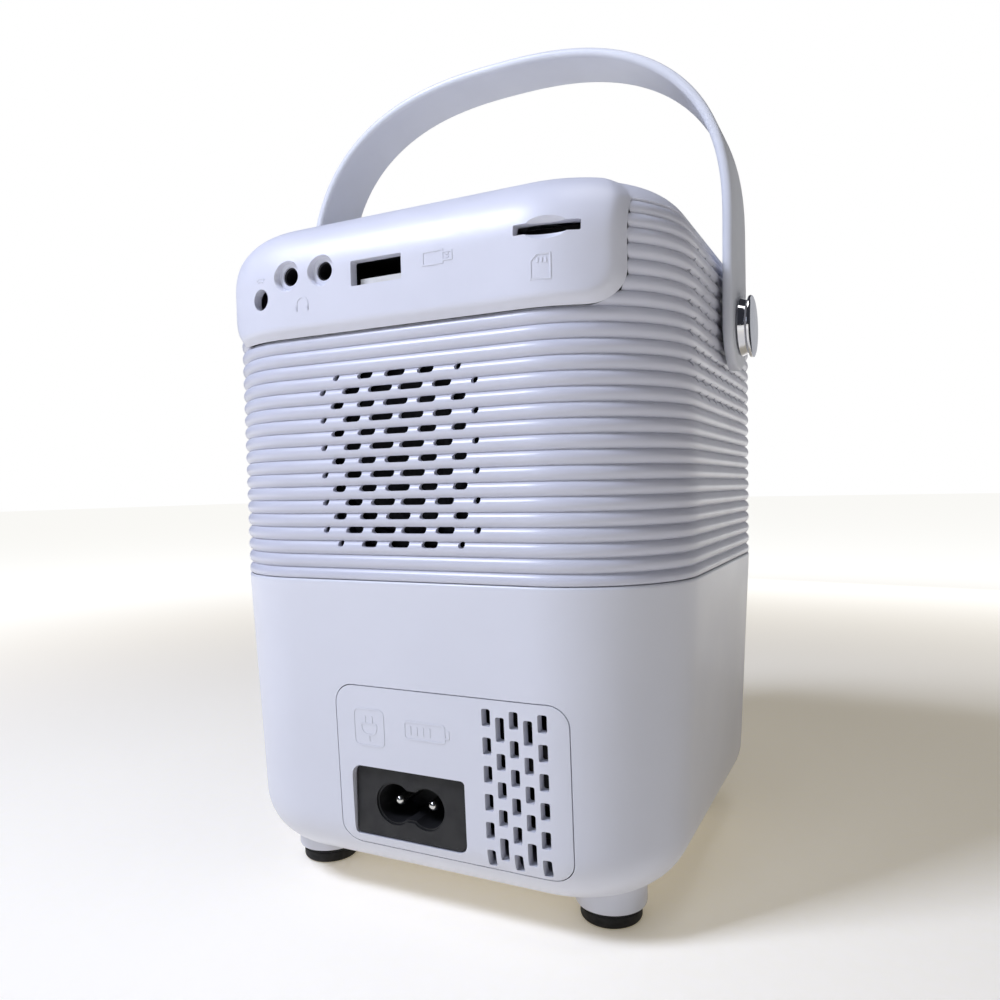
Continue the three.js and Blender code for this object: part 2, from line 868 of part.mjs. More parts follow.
// What stands on the floor of the lower case: bosses, posts, the fan's cradle and the battery's ribs
function lowerFittings() {
  const post = (x, y, radius, top) => standing(circle(x, y, radius, postSides), baseHeight, top);
  const fittings = [fanCradle()];
  for (const [x, y] of Object.values(footPlaces())) {
    fittings.push(post(x, y, footBossRadius, floorTop + footBossHeight));
  }
  for (const [x, y] of powerPostPlaces()) {
    fittings.push(post(x, y, powerPostRadius, powerBoardZ - fitGap));
  }
  const batteryFoot = batteryZ - batteryRise / 2 - fitGap;
  for (const side of [-1, 1]) {
    for (const y of [-joinPostY, joinPostY]) {
      fittings.push(post(side * (caseWidth / 2 - joinPostInset), y, joinPostRadius, lowerRim));
    }
    const ribX = side * batteryRibX;
    fittings.push(block(ribX - batteryRibWidth / 2, ribX + batteryRibWidth / 2,
      batteryY - batteryThickness / 2, batteryY + batteryThickness / 2, baseHeight, batteryFoot));
  }
  return joined(fittings);
}

function fanCradle() {
  const shelf = fanZ - fanSize / 2 - fitGap;
  const rim = shelf + fanCradleHeight;
  const back = fanBack + fitGap;
  const front = fanBack - fanDepth - fitGap;
  const profile = [[front - fanCradleLip, baseHeight], [back + fanCradleLip, baseHeight],
    [back + fanCradleLip, rim], [back, rim], [back, shelf], [front, shelf], [front, rim],
    [front - fanCradleLip, rim]];
  return acrossX(profile, fanX - fanCradleWidth / 2, fanX + fanCradleWidth / 2);
}

function powerPostPlaces() {
  const places = [];
  for (const x of [-1, 1]) {
    for (const y of [-1, 1]) {
      places.push([x * (powerBoardWidth / 2 - powerPostMargin),
        powerBoardY + y * (powerBoardDepth / 2 - powerPostMargin)]);
    }
  }
  return places;
}

// The service panel

function panelOutline(grow) {
  const radius = panelCorner + grow;
  return roundedRectangle(-panelLeft - grow, panelRight + grow, panelBottom - grow, panelTop + grow,
    [radius, radius, radius, radius], panelCornerSteps);
}

function inletOutline(grow) {
  const half = inletWidth / 2 + grow;
  const rise = inletHeight / 2 + grow;
  const small = inletRound / 3;
  return roundedRectangle(inletCentreX - half, inletCentreX + half, inletCentreZ - rise, inletCentreZ + rise,
    [inletRound, small, inletRound, small], 2);
}

function ventCuts() {
  const cuts = [];
  for (let column = 0; column < ventColumns; column++) {
    const x = ventCentreX + (column - (ventColumns - 1) / 2) * ventPitchX;
    const outer = column % 2 === 0;
    const count = outer ? ventsPerOuterColumn : ventsPerInnerColumn;
    const slots = [];
    for (let i = 0; i < count; i++) slots.push([(i - (count - 1) / 2) * ventPitchZ, ventShort]);
    if (!outer) slots.push([ventEndOffset, ventLong], [-ventEndOffset, ventLong]);
    for (const [offset, length] of slots) {
      const z = ventCentreZ + offset;
      const outline = rectangle(x - ventWidth / 2, x + ventWidth / 2, z - length / 2, z + length / 2);
      cuts.push(acrossY(outline, caseBack - wall * 4, caseBack + overrun));
    }
  }
  return joined(cuts);
}

function servicePanel() {
  const plate = acrossY(panelOutline(0), caseBack - wall * 4, caseBack + overrun);
  let panel = smoothLower(lowerRim, 0, baseHeight).intersect(plate);
  panel = panel.subtract(smoothLower(seamHeight + overrun, wall, floorTop));
  panel = panel.subtract(ventCuts());
  return panel.subtract(acrossY(inletOutline(fitGap), caseBack - wall * 4, caseBack + overrun));
}

// The mains inlet: a figure of eight as the union of two round lobes and a waist

function socketOutline() {
  const lobe = socketHeight / 2;
  const reach = socketWidth / 2 - lobe;
  const points = [];
  for (const side of [1, -1]) {
    const open = Math.asin(Math.min(socketWaist / socketHeight, 1));
    for (let i = 0; i <= socketSteps; i++) {
      const angle = (side > 0 ? 0 : halfTurn) + (halfTurn - open) * ((2 * i) / socketSteps - 1);
      points.push([
        inletCentreX + side * reach + lobe * Math.cos(angle), inletCentreZ + lobe * Math.sin(angle)]);
    }
  }
  return points;
}

function acInlet() {
  const face = lowerBackY(inletCentreZ) - inletRecess;
  const flange = acrossY(inletOutline(0), face - inletFlange, face);
  const inner = -inletBodyMargin;
  const body = acrossY(inletOutline(inner), face - inletDepth, face - inletFlange / 2);
  return flange.add(body).subtract(acrossY(socketOutline(), face - socketDepth, face + overrun));
}

function inletPin(side) {
  const face = lowerBackY(inletCentreZ) - inletRecess;
  const root = face - socketDepth + fitGap;
  const tip = root + inletPinLength;
  const nose = inletPinRadius / 2;
  const profile = [[0, root], [inletPinRadius, root], [inletPinRadius, tip - nose], [nose, tip], [0, tip]];
  return turnedAlongY(profile, inletPinSides, inletCentreX + (side * inletPinSpacing) / 2, inletCentreZ);
}

// The handle: a strap whose section follows a straight leg, a superellipse arch and a straight leg.
// Each station has a place in XZ, an outward direction and a width along Y.

const strapHalfSpan = caseWidth / 2 + strapGap + strapThickness / 2;
const lobeRadius = strapWidthFoot / 2;

function strapWidth(height) {
  const climb = Math.min(Math.max(height / archHeight, 0), 1);
  return strapWidthFoot + (strapWidthTop - strapWidthFoot) * climb;
}

function archStations() {
  const stations = [];
  for (let i = 1; i <= lobeSteps; i++) {
    const angle = (quarterTurn * i) / (lobeSteps + 1 / lobeSteps);
    const width = strapWidthFoot * Math.sin(angle);
    stations.push({ x: strapHalfSpan, z: -lobeRadius * Math.cos(angle), width });
  }
  stations.push({ x: strapHalfSpan, z: 0, width: strapWidthFoot });
  const rise = archHeight - archStraight;
  for (let i = 0; i <= archSteps; i++) {
    const angle = (halfTurn * i) / archSteps;
    const cosine = Math.cos(angle);
    const x = strapHalfSpan * Math.sign(cosine) * Math.abs(cosine) ** (2 / archPower);
    const z = archStraight + rise * Math.sin(angle) ** (2 / archPower);
    stations.push({ x, z, width: strapWidth(z) });
  }
  const leg = stations.slice(0, lobeSteps + 1).reverse();
  return stations.concat(leg.map((station) => ({ ...station, x: -station.x })));
}

function carryHandle() {
  const stations = archStations();
  const rings = stations.map((station, i) => {
    const before = stations[Math.max(i - 1, 0)];
    const after = stations[Math.min(i + 1, stations.length - 1)];
    const along = new THREE.Vector2(after.x - before.x, after.z - before.z).normalize();
    const out = new THREE.Vector2(along.y, -along.x);
    const half = station.width / 2;
    const thick = strapThickness / 2;
    const edge = Math.min(strapEdge, half / 2);
    const section = [
      [half, thick - edge], [half, edge - thick], [half - edge, -thick], [edge - half, -thick],
      [-half, edge - thick], [-half, thick - edge], [edge - half, thick], [half - edge, thick],
    ];
    return section.map(([y, depth]) => [
      station.x + out.x * depth, y, pivotHeight + station.z + out.y * depth]);
  });
  return lofted(rings).subtract(pivotRod(pinRadius + fitGap, -caseWidth, caseWidth, pinSides));
}

// The pivots: a headed pin in each side wall, a thin washer and a domed cap outside

function onSide(side, body) {
  return side > 0 ? body : body.mirror([1, 0, 0]);
}

function alongX(profile, sides) {
  const points = profile.map(([radius, depth]) => new THREE.Vector2(radius, depth));
  const geometry = new THREE.LatheGeometry(points, sides);
  geometry.rotateZ(-quarterTurn);
  geometry.translate(0, 0, pivotHeight);
  return solid(geometry);
}

const strapInner = caseWidth / 2 + strapGap;
const strapOuter = strapInner + strapThickness;

function pivotPin(side) {
  const headEnd = innerHalfX - pivotBossDepth - fitGap;
  const inner = headEnd - pinHeadLength;
  return onSide(side, alongX([[0, inner], [pinHeadRadius, inner], [pinHeadRadius, headEnd],
    [pinRadius, headEnd], [pinRadius, strapOuter], [0, strapOuter]], pinSides));
}

function pivotWasher(side) {
  const low = caseWidth / 2 + fitGap;
  return onSide(side, alongX(tube(washerRadius, pinRadius + fitGap, low, strapInner - fitGap), pinSides));
}

function handleCap(side) {
  const low = strapOuter + fitGap;
  const high = low + capDepth;
  const crown = high - capDome;
  return onSide(side, alongX([[0, low], [capRadius - capDome / 2, low], [capRadius, low + capDome],
    [capRadius, crown], [capRadius - capDome, high - capDome / 4], [capRadius / 2, high],
    [0, high]], capSides));
}

// The keys: a cap that stands proud of the lid, a flange that stops it under the lid and a short stem

function key(name) {
  const flangeLow = keyFlangeTop - keyFlange;
  const cap = standing(keyOutline(name, 0), flangeLow, caseHeight + keyStandProud);
  const flange = standing(keyOutline(name, keyFlangeReach), flangeLow, keyFlangeTop);
  return cap.add(flange);
}

// The lens group

const lensFace = caseFront - trimProud;

function frontBezel() {
  const flangeBack = caseFront - fitGap;
  const outer = lensWindowRadius + bezelFlange;
  const inner = lensWindowRadius - bezelWall;
  return turnedAlongY([[inner, lensFace + bezelDepth], [inner, lensFace + trimProud / 4],
    [inner + trimProud / 4, lensFace], [outer - trimProud / 2, lensFace], [outer, lensFace + trimProud / 2],
    [outer, flangeBack], [lensWindowRadius, flangeBack], [lensWindowRadius, lensFace + bezelDepth],
    [inner, lensFace + bezelDepth]], bezelSides, 0, lensZ);
}

function focusRing() {
  const outer = lensWindowRadius - bezelWall - fitGap;
  const points = [];
  for (let i = 0; i < ringTeeth * 2; i++) {
    const radius = i % 2 === 0 ? outer : outer - ringToothDepth;
    const angle = (halfTurn * i) / ringTeeth;
    points.push([radius * Math.cos(angle), lensZ + radius * Math.sin(angle)]);
  }
  const front = lensFace + ringSetBack;
  const ring = acrossY(points, front, front + ringLength);
  return ring.subtract(acrossY(circle(0, lensZ, ringBore, lensSides), front - overrun, front + overrun * 3));
}

const barrelRadius = ringBore * Math.cos(halfTurn / lensSides) - fitGap;
const barrelBore = barrelRadius - barrelWall;
const barrelFront = lensFace + barrelFrontSetBack;

function lensBarrel() {
  const back = barrelFront + barrelLength;
  const lip = barrelBore - barrelWall * barrelLipShare;
  const seat = barrelFront + frontLensSetBack + frontLensThickness;
  return turnedAlongY([[barrelBore, barrelFront], [barrelRadius, barrelFront], [barrelRadius, back],
    [lip, back], [lip, seat + fitGap], [barrelBore, seat + fitGap], [barrelBore, barrelFront]],
    lensSides, 0, lensZ);
}

// A lens with a flat rim and a curved front and back.
function lens(radius, edge, thickness, front) {
  const bulge = (thickness - edge) / 2;
  const middle = front + thickness / 2;
  const profile = [];
  for (let i = 0; i <= lensArcSteps; i++) {
    const reach = (radius * i) / lensArcSteps;
    profile.push([reach, middle - edge / 2 - bulge * (1 - (reach / radius) ** 2)]);
  }
  for (let i = lensArcSteps; i >= 0; i--) {
    const reach = (radius * i) / lensArcSteps;
    profile.push([reach, middle + edge / 2 + bulge * (1 - (reach / radius) ** 2)]);
  }
  return turnedAlongY(profile, lensSides, 0, lensZ);
}

const engineFront = engineY - engineHalf;
const engineBack = engineY + engineHalf;
const frameTop = lowerRim + fitGap + midFrameThickness;
const panelStackFoot = frameTop + fitGap + tunnelFlange + fitGap;
const mirrorBoxFloor = panelStackFoot + lcdThickness + fitGap + fresnelThickness + fitGap;
const mirrorBoxTop = mirrorBoxFloor + mirrorBoxRise;

function lensMount() {
  const inner = barrelRadius + fitGap;
  const outer = inner + lensMountWall;
  const back = engineFront - fitGap;
  const front = lensFace + ringSetBack + ringLength + lensMountClearance;
  const flange = outer + lensMountFlange / 2;
  return turnedAlongY([[inner, front], [outer, front], [outer, back - lensMountFlange],
    [flange, back - lensMountFlange], [flange, back], [inner, back], [inner, front]], lensSides, 0, lensZ);
}

// The mirror box: a wedge-backed hood, open to the panel stack below and to the lens in front

function hoodOutline(inset) {
  const back = engineBack - inset;
  const top = mirrorBoxTop - inset;
  const front = engineFront + inset;
  const slope = mirrorBoxRise - mirrorBoxFoot - inset;
  return [[front, mirrorBoxFloor], [back, mirrorBoxFloor], [back, mirrorBoxFloor + mirrorBoxFoot],
    [back - slope, top], [front, top]];
}

function mirrorBox() {
  const outside = acrossX(hoodOutline(0), -engineHalf, engineHalf);
  const inside = acrossX(hoodOutline(engineWall), -engineHalf + engineWall, engineHalf - engineWall);
  const below = block(-engineHalf + engineWall, engineHalf - engineWall, engineFront + engineWall,
    engineBack - engineWall, mirrorBoxFloor - overrun, mirrorBoxFloor + engineWall);
  const lensHole = acrossY(circle(0, lensZ, barrelRadius + fitGap, lensSides), engineFront - overrun,
    engineFront + engineWall * 2);
  return outside.subtract(inside).subtract(below).subtract(lensHole);
}

// A flat mirror at 45 degrees, just clear of the sloping back of its box
function foldMirror() {
  const slopeY = engineBack - (lensZ - mirrorBoxFloor - mirrorBoxFoot);
  const geometry = new THREE.BoxGeometry(mirrorWidth, mirrorWidth, mirrorThickness);
  geometry.rotateX(-quarterTurn / 2);
  geometry.translate(0, slopeY - engineWall - (fitGap + mirrorThickness / 2) * Math.SQRT2, lensZ);
  return solid(geometry);
}

function plateAt(half, low, thickness) {
  return block(-half, half, engineY - half, engineY + half, low, low + thickness);
}

// The light tunnel: a square funnel with a flange that lies on the middle frame

function squareRing(half, height) {
  return [[-half, engineY - half, height], [half, engineY - half, height], [half, engineY + half, height],
    [-half, engineY + half, height]];
}

const tunnelTop = frameTop + fitGap + tunnelFlange;
const tunnelBottom = frameTop - tunnelDrop;

function lightTunnel() {
  const outside = lofted([squareRing(tunnelThroatHalf + tunnelWall, tunnelBottom),
    squareRing(tunnelMouthHalf + tunnelWall, tunnelTop)]);
  const inside = lofted([squareRing(tunnelThroatHalf, tunnelBottom - fitGap),
    squareRing(tunnelMouthHalf, tunnelTop + fitGap)]);
  const flange = plateAt(engineHalf, tunnelTop - tunnelFlange, tunnelFlange);
  return outside.add(flange).subtract(inside);
}

function midFrame() {
  const low = lowerRim + fitGap;
  const outline = planOutline(wall + fitGap);
  const plate = standing(outline, low, frameTop);
  const hole = tunnelMouthHalf + tunnelWall + fitGap;
  return plate.subtract(plateAt(hole, low - fitGap, midFrameThickness + fitGap * 2));
}

const ledTop = tunnelBottom - fitGap;
const sinkTop = ledTop - ledBoardThickness - fitGap;

function condenserLens() {
  const low = ledTop + condenserStandOff;
  const radius = condenserRadius;
  const edge = low + condenserThickness / 4;
  const profile = [[0, low], [radius, low], [radius, edge]];
  for (let i = 1; i <= lensArcSteps; i++) {
    const angle = (quarterTurn * i) / lensArcSteps;
    profile.push([radius * Math.cos(angle), edge + (low + condenserThickness - edge) * Math.sin(angle)]);
  }
  return turned(profile, capSides / 2).translate([0, engineY, 0]);
}

function ledBoard() {
  return plateAt(ledBoardHalf, ledTop - ledBoardThickness, ledBoardThickness);
}

function heatSink() {
  const base = plateAt(sinkHalf, sinkTop - sinkBase, sinkBase);
  const pitch = (sinkHalf * 2 - sinkFinThickness) / (sinkFins - 1);
  let sink = base;
  for (let i = 0; i < sinkFins; i++) {
    const left = -sinkHalf + i * pitch;
    sink = sink.add(block(left, left + sinkFinThickness, engineY - sinkHalf, engineY + sinkHalf,
      sinkTop - sinkHeight, sinkTop - sinkBase / 2));
  }
  return sink;
}

// The fan

function fanFrame() {
  const half = fanSize / 2;
  const low = fanBack - fanDepth;
  const bore = half - fanBoreMargin;
  const frame = acrossY(rectangle(fanX - half, fanX + half, fanZ - half, fanZ + half), low, fanBack);
  let shell = frame.subtract(acrossY(circle(fanX, fanZ, bore, fanSides), low - overrun, fanBack + overrun));
  const spokeLow = low;
  const spokeHigh = low + fanSpokeDepth;
  const reach = bore + fitGap;
  const spoke = fanSpokeWidth / 2;
  const across = rectangle(fanX - reach, fanX + reach, fanZ - spoke, fanZ + spoke);
  const upright = rectangle(fanX - spoke, fanX + spoke, fanZ - reach, fanZ + reach);
  shell = shell.add(acrossY(across, spokeLow, spokeHigh)).add(acrossY(upright, spokeLow, spokeHigh));
  return shell.add(acrossY(circle(fanX, fanZ, fanHubRadius, fanSides), spokeLow, spokeHigh));
}

function fanRotor() {
  const low = fanBack - fanDepth + fanSpokeDepth + fitGap;
  const high = fanBack - fitGap;
  const tip = fanSize / 2 - fanBoreMargin - fanBladeGap;
  let rotor = acrossY(circle(0, 0, fanHubRadius, fanSides), low, high);
  for (let i = 0; i < fanBladeCount; i++) {
    const blade = new THREE.BoxGeometry(tip, fanDepth / 2, fanBladeThickness);
    blade.translate(tip / 2, 0, 0);
    blade.rotateX(fanBladeTwist);
    blade.rotateY((fullTurn * i) / fanBladeCount);
    blade.translate(0, (low + high) / 2, 0);
    rotor = rotor.add(solid(blade));
  }
  const bound = acrossY(circle(0, 0, tip, fanSides), low, high);
  return rotor.intersect(bound).translate([fanX, 0, fanZ]);
}

// The loudspeaker: rim and basket, cone, magnet

const speakerFace = innerHalfY - fitGap;
const speakerZ = grooveHeight(backGrilleFirstGroove + (backGrilleRows - 1) / 2);

function speakerFrame() {
  const face = speakerFace;
  const back = face - speakerDepth;
  const throat = magnetRadius - speakerRim;
  return turnedAlongY([[coneRim + fitGap, face], [speakerRadius, face], [speakerRadius, face - speakerRim],
    [coneRim + speakerRim * 2, face - speakerRim * 2], [magnetRadius + speakerRim, back], [throat, back],
    [throat, back + speakerRim], [coneRim + fitGap, face - speakerRim * 2], [coneRim + fitGap, face]],
    speakerSides, 0, speakerZ);
}

function speakerCone() {
  const face = speakerFace - coneSetBack;
  const depth = speakerDepth / 2;
  return turnedAlongY([[0, face - depth], [coneThroat, face - depth], [coneRim, face - coneWall],
    [coneRim, face], [coneThroat, face - depth + coneWall * 2], [0, face - depth + coneWall * 3]],
    speakerSides, 0, speakerZ);
}

function speakerMagnet() {
  const back = speakerFace - speakerDepth - fitGap;
  return turnedAlongY([[0, back - magnetDepth], [magnetRadius, back - magnetDepth], [magnetRadius, back],
    [0, back]], speakerSides, 0, speakerZ);
}

// The boards and what stands on them

const mainBoardTop = mainBoardZ + boardThickness;

function mainBoard() {
  const half = mainBoardWidth / 2;
  return block(-half, half, mainBoardFront, mainBoardBack, mainBoardZ, mainBoardTop);
}

// The face of a socket's body, just behind the wall, for its outermost side and its top
function socketFaceY(x, top) {
  return insideBackY(x, top) - socketSetBack;
}

function usbPort() {
  const left = usbX - usbWidth / 2 + fitGap;
  const right = usbX + usbWidth / 2 - fitGap;
  const low = usbZ - usbHeight / 2 + fitGap;
  const high = usbZ + usbHeight / 2 - fitGap;
  const mouth = caseBack + trimProud - usbSetBack;
  const face = socketFaceY(right, high);
  const boreEnd = mouth - usbBoreDepth;
  const body = block(left, right, face - usbDepth, face, mainBoardTop + fitGap, high);
  const nose = block(left, right, boreEnd, mouth, low, high);
  const bore = block(left + usbShellWall, right - usbShellWall, boreEnd, mouth + overrun,
    low + usbShellWall, high - usbShellWall);
  const tongueLow = low + usbShellWall + usbTongueLift;
  const tongue = block(usbX - usbTongueWidth / 2, usbX + usbTongueWidth / 2, boreEnd - fitGap,
    mouth - usbSetBack, tongueLow, tongueLow + usbTongueHeight);
  return body.add(nose).subtract(bore).add(tongue);
}

function cardReader() {
  const left = cardX - cardBodyWidth / 2;
  const top = cardZ + cardSlotHeight / 2 + cardBodyAbove;
  const face = socketFaceY(left, top);
  const shell = block(left, left + cardBodyWidth, face - cardBodyDepth, face, mainBoardTop + fitGap, top);
  const slot = block(cardX - cardSlotWidth / 2, cardX + cardSlotWidth / 2, face - cardSlotDepth,
    face + overrun, cardZ - cardSlotHeight / 2, cardZ + cardSlotHeight / 2);
  return shell.subtract(slot);
}

function jack(x) {
  const top = jackZ + jackBodyWidth / 2;
  const face = socketFaceY(x + jackBodyWidth / 2, top);
  const mouth = caseBack + trimProud - jackRecessDepth;
  const nose = acrossY(circle(x, jackZ, jackNoseRadius, boreSides), face - wall, mouth);
  const body = block(x - jackBodyWidth / 2, x + jackBodyWidth / 2, face - jackBodyDepth, face,
    mainBoardTop + fitGap, top);
  const bore = acrossY(circle(x, jackZ, jackBoreRadius, boreSides), mouth - jackBoreDepth, mouth + overrun);
  return body.add(nose).subtract(bore);
}

function irReceiver() {
  const back = mainBoardBack - jackBoreRadius;
  const face = innerHalfY - wall * 2;
  const body = block(irX - irHoleRadius, irX + irHoleRadius, back - irHoleRadius * 2, face,
    mainBoardTop + fitGap, irZ + irHoleRadius);
  const dome = turnedAlongY([[0, face - fitGap], [irHoleRadius - fitGap, face - fitGap],
    [irHoleRadius - fitGap, face + fitGap], [irHoleRadius / 2, face + irHoleRadius / 2],
    [0, face + irHoleRadius / 2]], pinSides, irX, irZ);
  return body.add(dome);
}

function keyBoard() {
  return block(-keyBoardWidth / 2, keyBoardWidth / 2, keypadY - keyBoardDepth / 2,
    keypadY + keyBoardDepth / 2, keyBoardTop - boardThickness, keyBoardTop);
}

const powerBoardTop = powerBoardZ + boardThickness;

function powerBoard() {
  return block(-powerBoardWidth / 2, powerBoardWidth / 2, powerBoardY - powerBoardDepth / 2,
    powerBoardY + powerBoardDepth / 2, powerBoardZ, powerBoardTop);
}

function transformer() {
  const half = transformerSize / 2;
  const low = powerBoardTop + fitGap;
  const x = powerBoardWidth / 4;
  return block(x - half, x + half, powerBoardY - half, powerBoardY + half, low, low + transformerHeight);
}

function capacitor() {
  const low = powerBoardTop + fitGap;
  const body = turned([[0, low], [capacitorRadius, low], [capacitorRadius, low + capacitorLength],
    [0, low + capacitorLength]], pinSides);
  return body.translate([-powerBoardWidth / 4, powerBoardY, 0]);
}

function batteryPack() {
  const outline = slotOutline(batteryZ, batteryY, batteryRise, batteryThickness, batterySides);
  return acrossX(outline.map(([z, y]) => [y, z]), -batteryLength / 2, batteryLength / 2);
}

function footPad() {
  return turned([[0, 0], [padRadius - padEdge, 0], [padRadius, padEdge], [padRadius, padHeight],
    [0, padHeight]], footSides);
}

// Putting the projector together

add('upper_housing', upperHousing(), whiteShell);
add('top_cover', topCover(), whiteShell);
add('lower_housing', lowerHousing(), whiteShell);
add('mid_frame', midFrame(), greyPlastic);
add('service_panel', servicePanel(), whiteShell);
add('ac_inlet', acInlet(), blackPlastic);
add('inlet_pin_left', inletPin(1), plated);
add('inlet_pin_right', inletPin(-1), plated);

for (const [name, [x, y]] of Object.entries(footPlaces())) {
  add(`foot_pad_${name}`, footPad(), rubber).position.set(x, y, 0);
}

add('carry_handle', carryHandle(), whiteStrap);
for (const [name, side] of [['left', 1], ['right', -1]]) {
  add(`pivot_pin_${name}`, pivotPin(side), steel);
  add(`pivot_washer_${name}`, pivotWasher(side), greyPlastic);
  add(`handle_cap_${name}`, handleCap(side), chrome);
}

for (const name of keyNames) add(name, key(name), greyPlastic);
add('key_board', keyBoard(), board);

add('front_bezel', frontBezel(), blackPlastic);
add('focus_ring', focusRing(), blackPlastic);
add('lens_barrel', lensBarrel(), blackPlastic);
add('front_lens', lens(barrelBore - fitGap, frontLensEdge, frontLensThickness,
  barrelFront + frontLensSetBack), glass);
add('rear_lens', lens(barrelBore - barrelWall * barrelLipShare - fitGap, rearLensEdge, rearLensThickness,
  barrelFront + rearLensSetBack), glass);
add('lens_mount', lensMount(), blackPlastic);

add('mirror_box', mirrorBox(), blackPlastic);
add('fold_mirror', foldMirror(), mirrorGlass);
add('fresnel_lens', plateAt(engineHalf, panelStackFoot + lcdThickness + fitGap, fresnelThickness), glass);
add('lcd_panel', plateAt(engineHalf, panelStackFoot, lcdThickness), blackPlastic);
add('light_tunnel', lightTunnel(), greyPlastic);
add('condenser_lens', condenserLens(), glass);
add('led_board', ledBoard(), aluminium);
add('heat_sink', heatSink(), aluminium);

add('fan_frame', fanFrame(), blackPlastic);
add('fan_rotor', fanRotor(), blackPlastic);
add('speaker_frame', speakerFrame(), steel);
add('speaker_cone', speakerCone(), paperCone);
add('speaker_magnet', speakerMagnet(), steel);

add('main_board', mainBoard(), board);
add('usb_port', usbPort(), plated);
add('card_reader', cardReader(), plated);
for (const [name, x] of Object.entries(jackXs)) add(name, jack(x), blackPlastic);
add('ir_receiver', irReceiver(), blackPlastic);
add('power_board', powerBoard(), board);
add('transformer', transformer(), greyPlastic);
add('bulk_capacitor', capacitor(), blackPlastic);
add('battery_pack', batteryPack(), batteryWrap);

export default projector;
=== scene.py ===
# A portable projector with a ribbed case, a lid that carries the sockets and a strap handle.
# Shapes are written in millimetres and become metres when a mesh is made.
import json

import bpy
import numpy as np
from mathutils import Matrix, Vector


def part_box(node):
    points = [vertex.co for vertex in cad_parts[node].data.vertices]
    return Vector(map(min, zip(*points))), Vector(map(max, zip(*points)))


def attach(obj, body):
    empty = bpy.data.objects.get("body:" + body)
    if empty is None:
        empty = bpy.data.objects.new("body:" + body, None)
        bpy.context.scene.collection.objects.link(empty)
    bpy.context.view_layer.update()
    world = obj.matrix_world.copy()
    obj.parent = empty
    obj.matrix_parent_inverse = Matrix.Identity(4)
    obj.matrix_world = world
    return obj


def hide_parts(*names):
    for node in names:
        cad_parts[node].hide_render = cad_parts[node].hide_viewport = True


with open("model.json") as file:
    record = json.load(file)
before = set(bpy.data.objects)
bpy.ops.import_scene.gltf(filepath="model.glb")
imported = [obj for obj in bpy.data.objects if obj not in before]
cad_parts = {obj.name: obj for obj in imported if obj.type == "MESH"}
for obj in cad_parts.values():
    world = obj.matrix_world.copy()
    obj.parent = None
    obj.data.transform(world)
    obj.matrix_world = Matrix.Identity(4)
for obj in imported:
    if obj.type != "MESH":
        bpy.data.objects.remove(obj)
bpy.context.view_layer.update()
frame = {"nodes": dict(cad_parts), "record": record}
nodes = frame["nodes"]
mm = 0.001
turn = 2 * np.pi
print("frame loaded:", len(nodes), "nodes")


def nodeCorners(name):
    # The lowest and highest corners of a node, in millimetres
    low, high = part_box(name)
    return np.array(low) / mm, np.array(high) / mm


# Camera, floor and lights

cameraLook = {
    "place": (-94.8, 201.23, 94.6),  # the eye, in millimetres
    "heading": 26.137,  # degrees away from looking straight at the back
    "tilt": 2.673,  # degrees down
    "roll": -1.183,
    "lens": 28.86,  # on a sensor 36 mm wide
    "shift": (-0.0022, 0.0264),
}


def makeCamera(look):
    # The view direction comes from the heading and the tilt, and the roll turns right and up about it
    heading, tilt, roll = np.radians([look["heading"], look["tilt"], look["roll"]])
    forward = np.array([np.sin(heading) * np.cos(tilt), -np.cos(heading) * np.cos(tilt), -np.sin(tilt)])
    level = np.array([-np.cos(heading), -np.sin(heading), 0.0])
    raised = np.cross(level, forward)
    right = np.cos(roll) * level + np.sin(roll) * raised
    up = np.cos(roll) * raised - np.sin(roll) * level
    data = bpy.data.cameras.new("camera")
    data.lens = look["lens"]
    data.sensor_width = 36
    data.shift_x, data.shift_y = look["shift"]
    data.clip_start = 0.01
    eye = bpy.data.objects.new("camera", data)
    rows = np.column_stack([right, up, -forward, np.array(look["place"]) * mm])
    eye.matrix_world = Matrix([*rows.tolist(), [0, 0, 0, 1]])
    bpy.context.scene.collection.objects.link(eye)
    bpy.context.scene.camera = eye


studio = {
    "keyPlace": (300, 400, 640), "keySize": 170, "keyPower": 5.0, "keyColour": "#E2E9FF",
    "backPlace": (60, 520, 300), "backSize": 160, "backPower": 0.22, "backColour": "#DDE8FF",
    "topPlace": (-120, 60, 570), "topSize": 200, "topPower": 0.4, "topColour": "#F8F7F8",
    "frontPlace": (-80, -560, 220), "frontSize": 420, "frontPower": 0.27, "frontColour": "#F2F4FA",
    "aim": (0, 0, 90),
    "ambient": "#C4C8DA", "ambientStrength": 0.06, "backgroundColour": "#FFFFFF",
    # The floor's painted glow: its emission from near to far, by distance from the middle, and its colours
    "glowStart": 150, "glowEnd": 760, "glowNear": 0.22, "glowFar": 0.92,
    "glowNearColour": "#FFEFCC", "glowFarColour": "#FFFEFA",
}


def linear(hexColour):
    # The sRGB transfer curve undone for each channel, with an alpha of one
    channels = [int(hexColour[i:i + 2], 16) / 255 for i in (1, 3, 5)]
    return [c / 12.92 if c <= 0.04045 else ((c + 0.055) / 1.055) ** 2.4 for c in channels] + [1.0]


def addNode(tree, kind, inputs=None, links=None, **settings):
    # A shader node with its settings, its input values and its links from other nodes' sockets
    node = tree.nodes.new(kind)
    for name, value in settings.items():
        setattr(node, name, value)
    for name, value in (inputs or {}).items():
        node.inputs[name].default_value = value
    for name, socket in (links or {}).items():
        tree.links.new(socket, node.inputs[name])
    return node


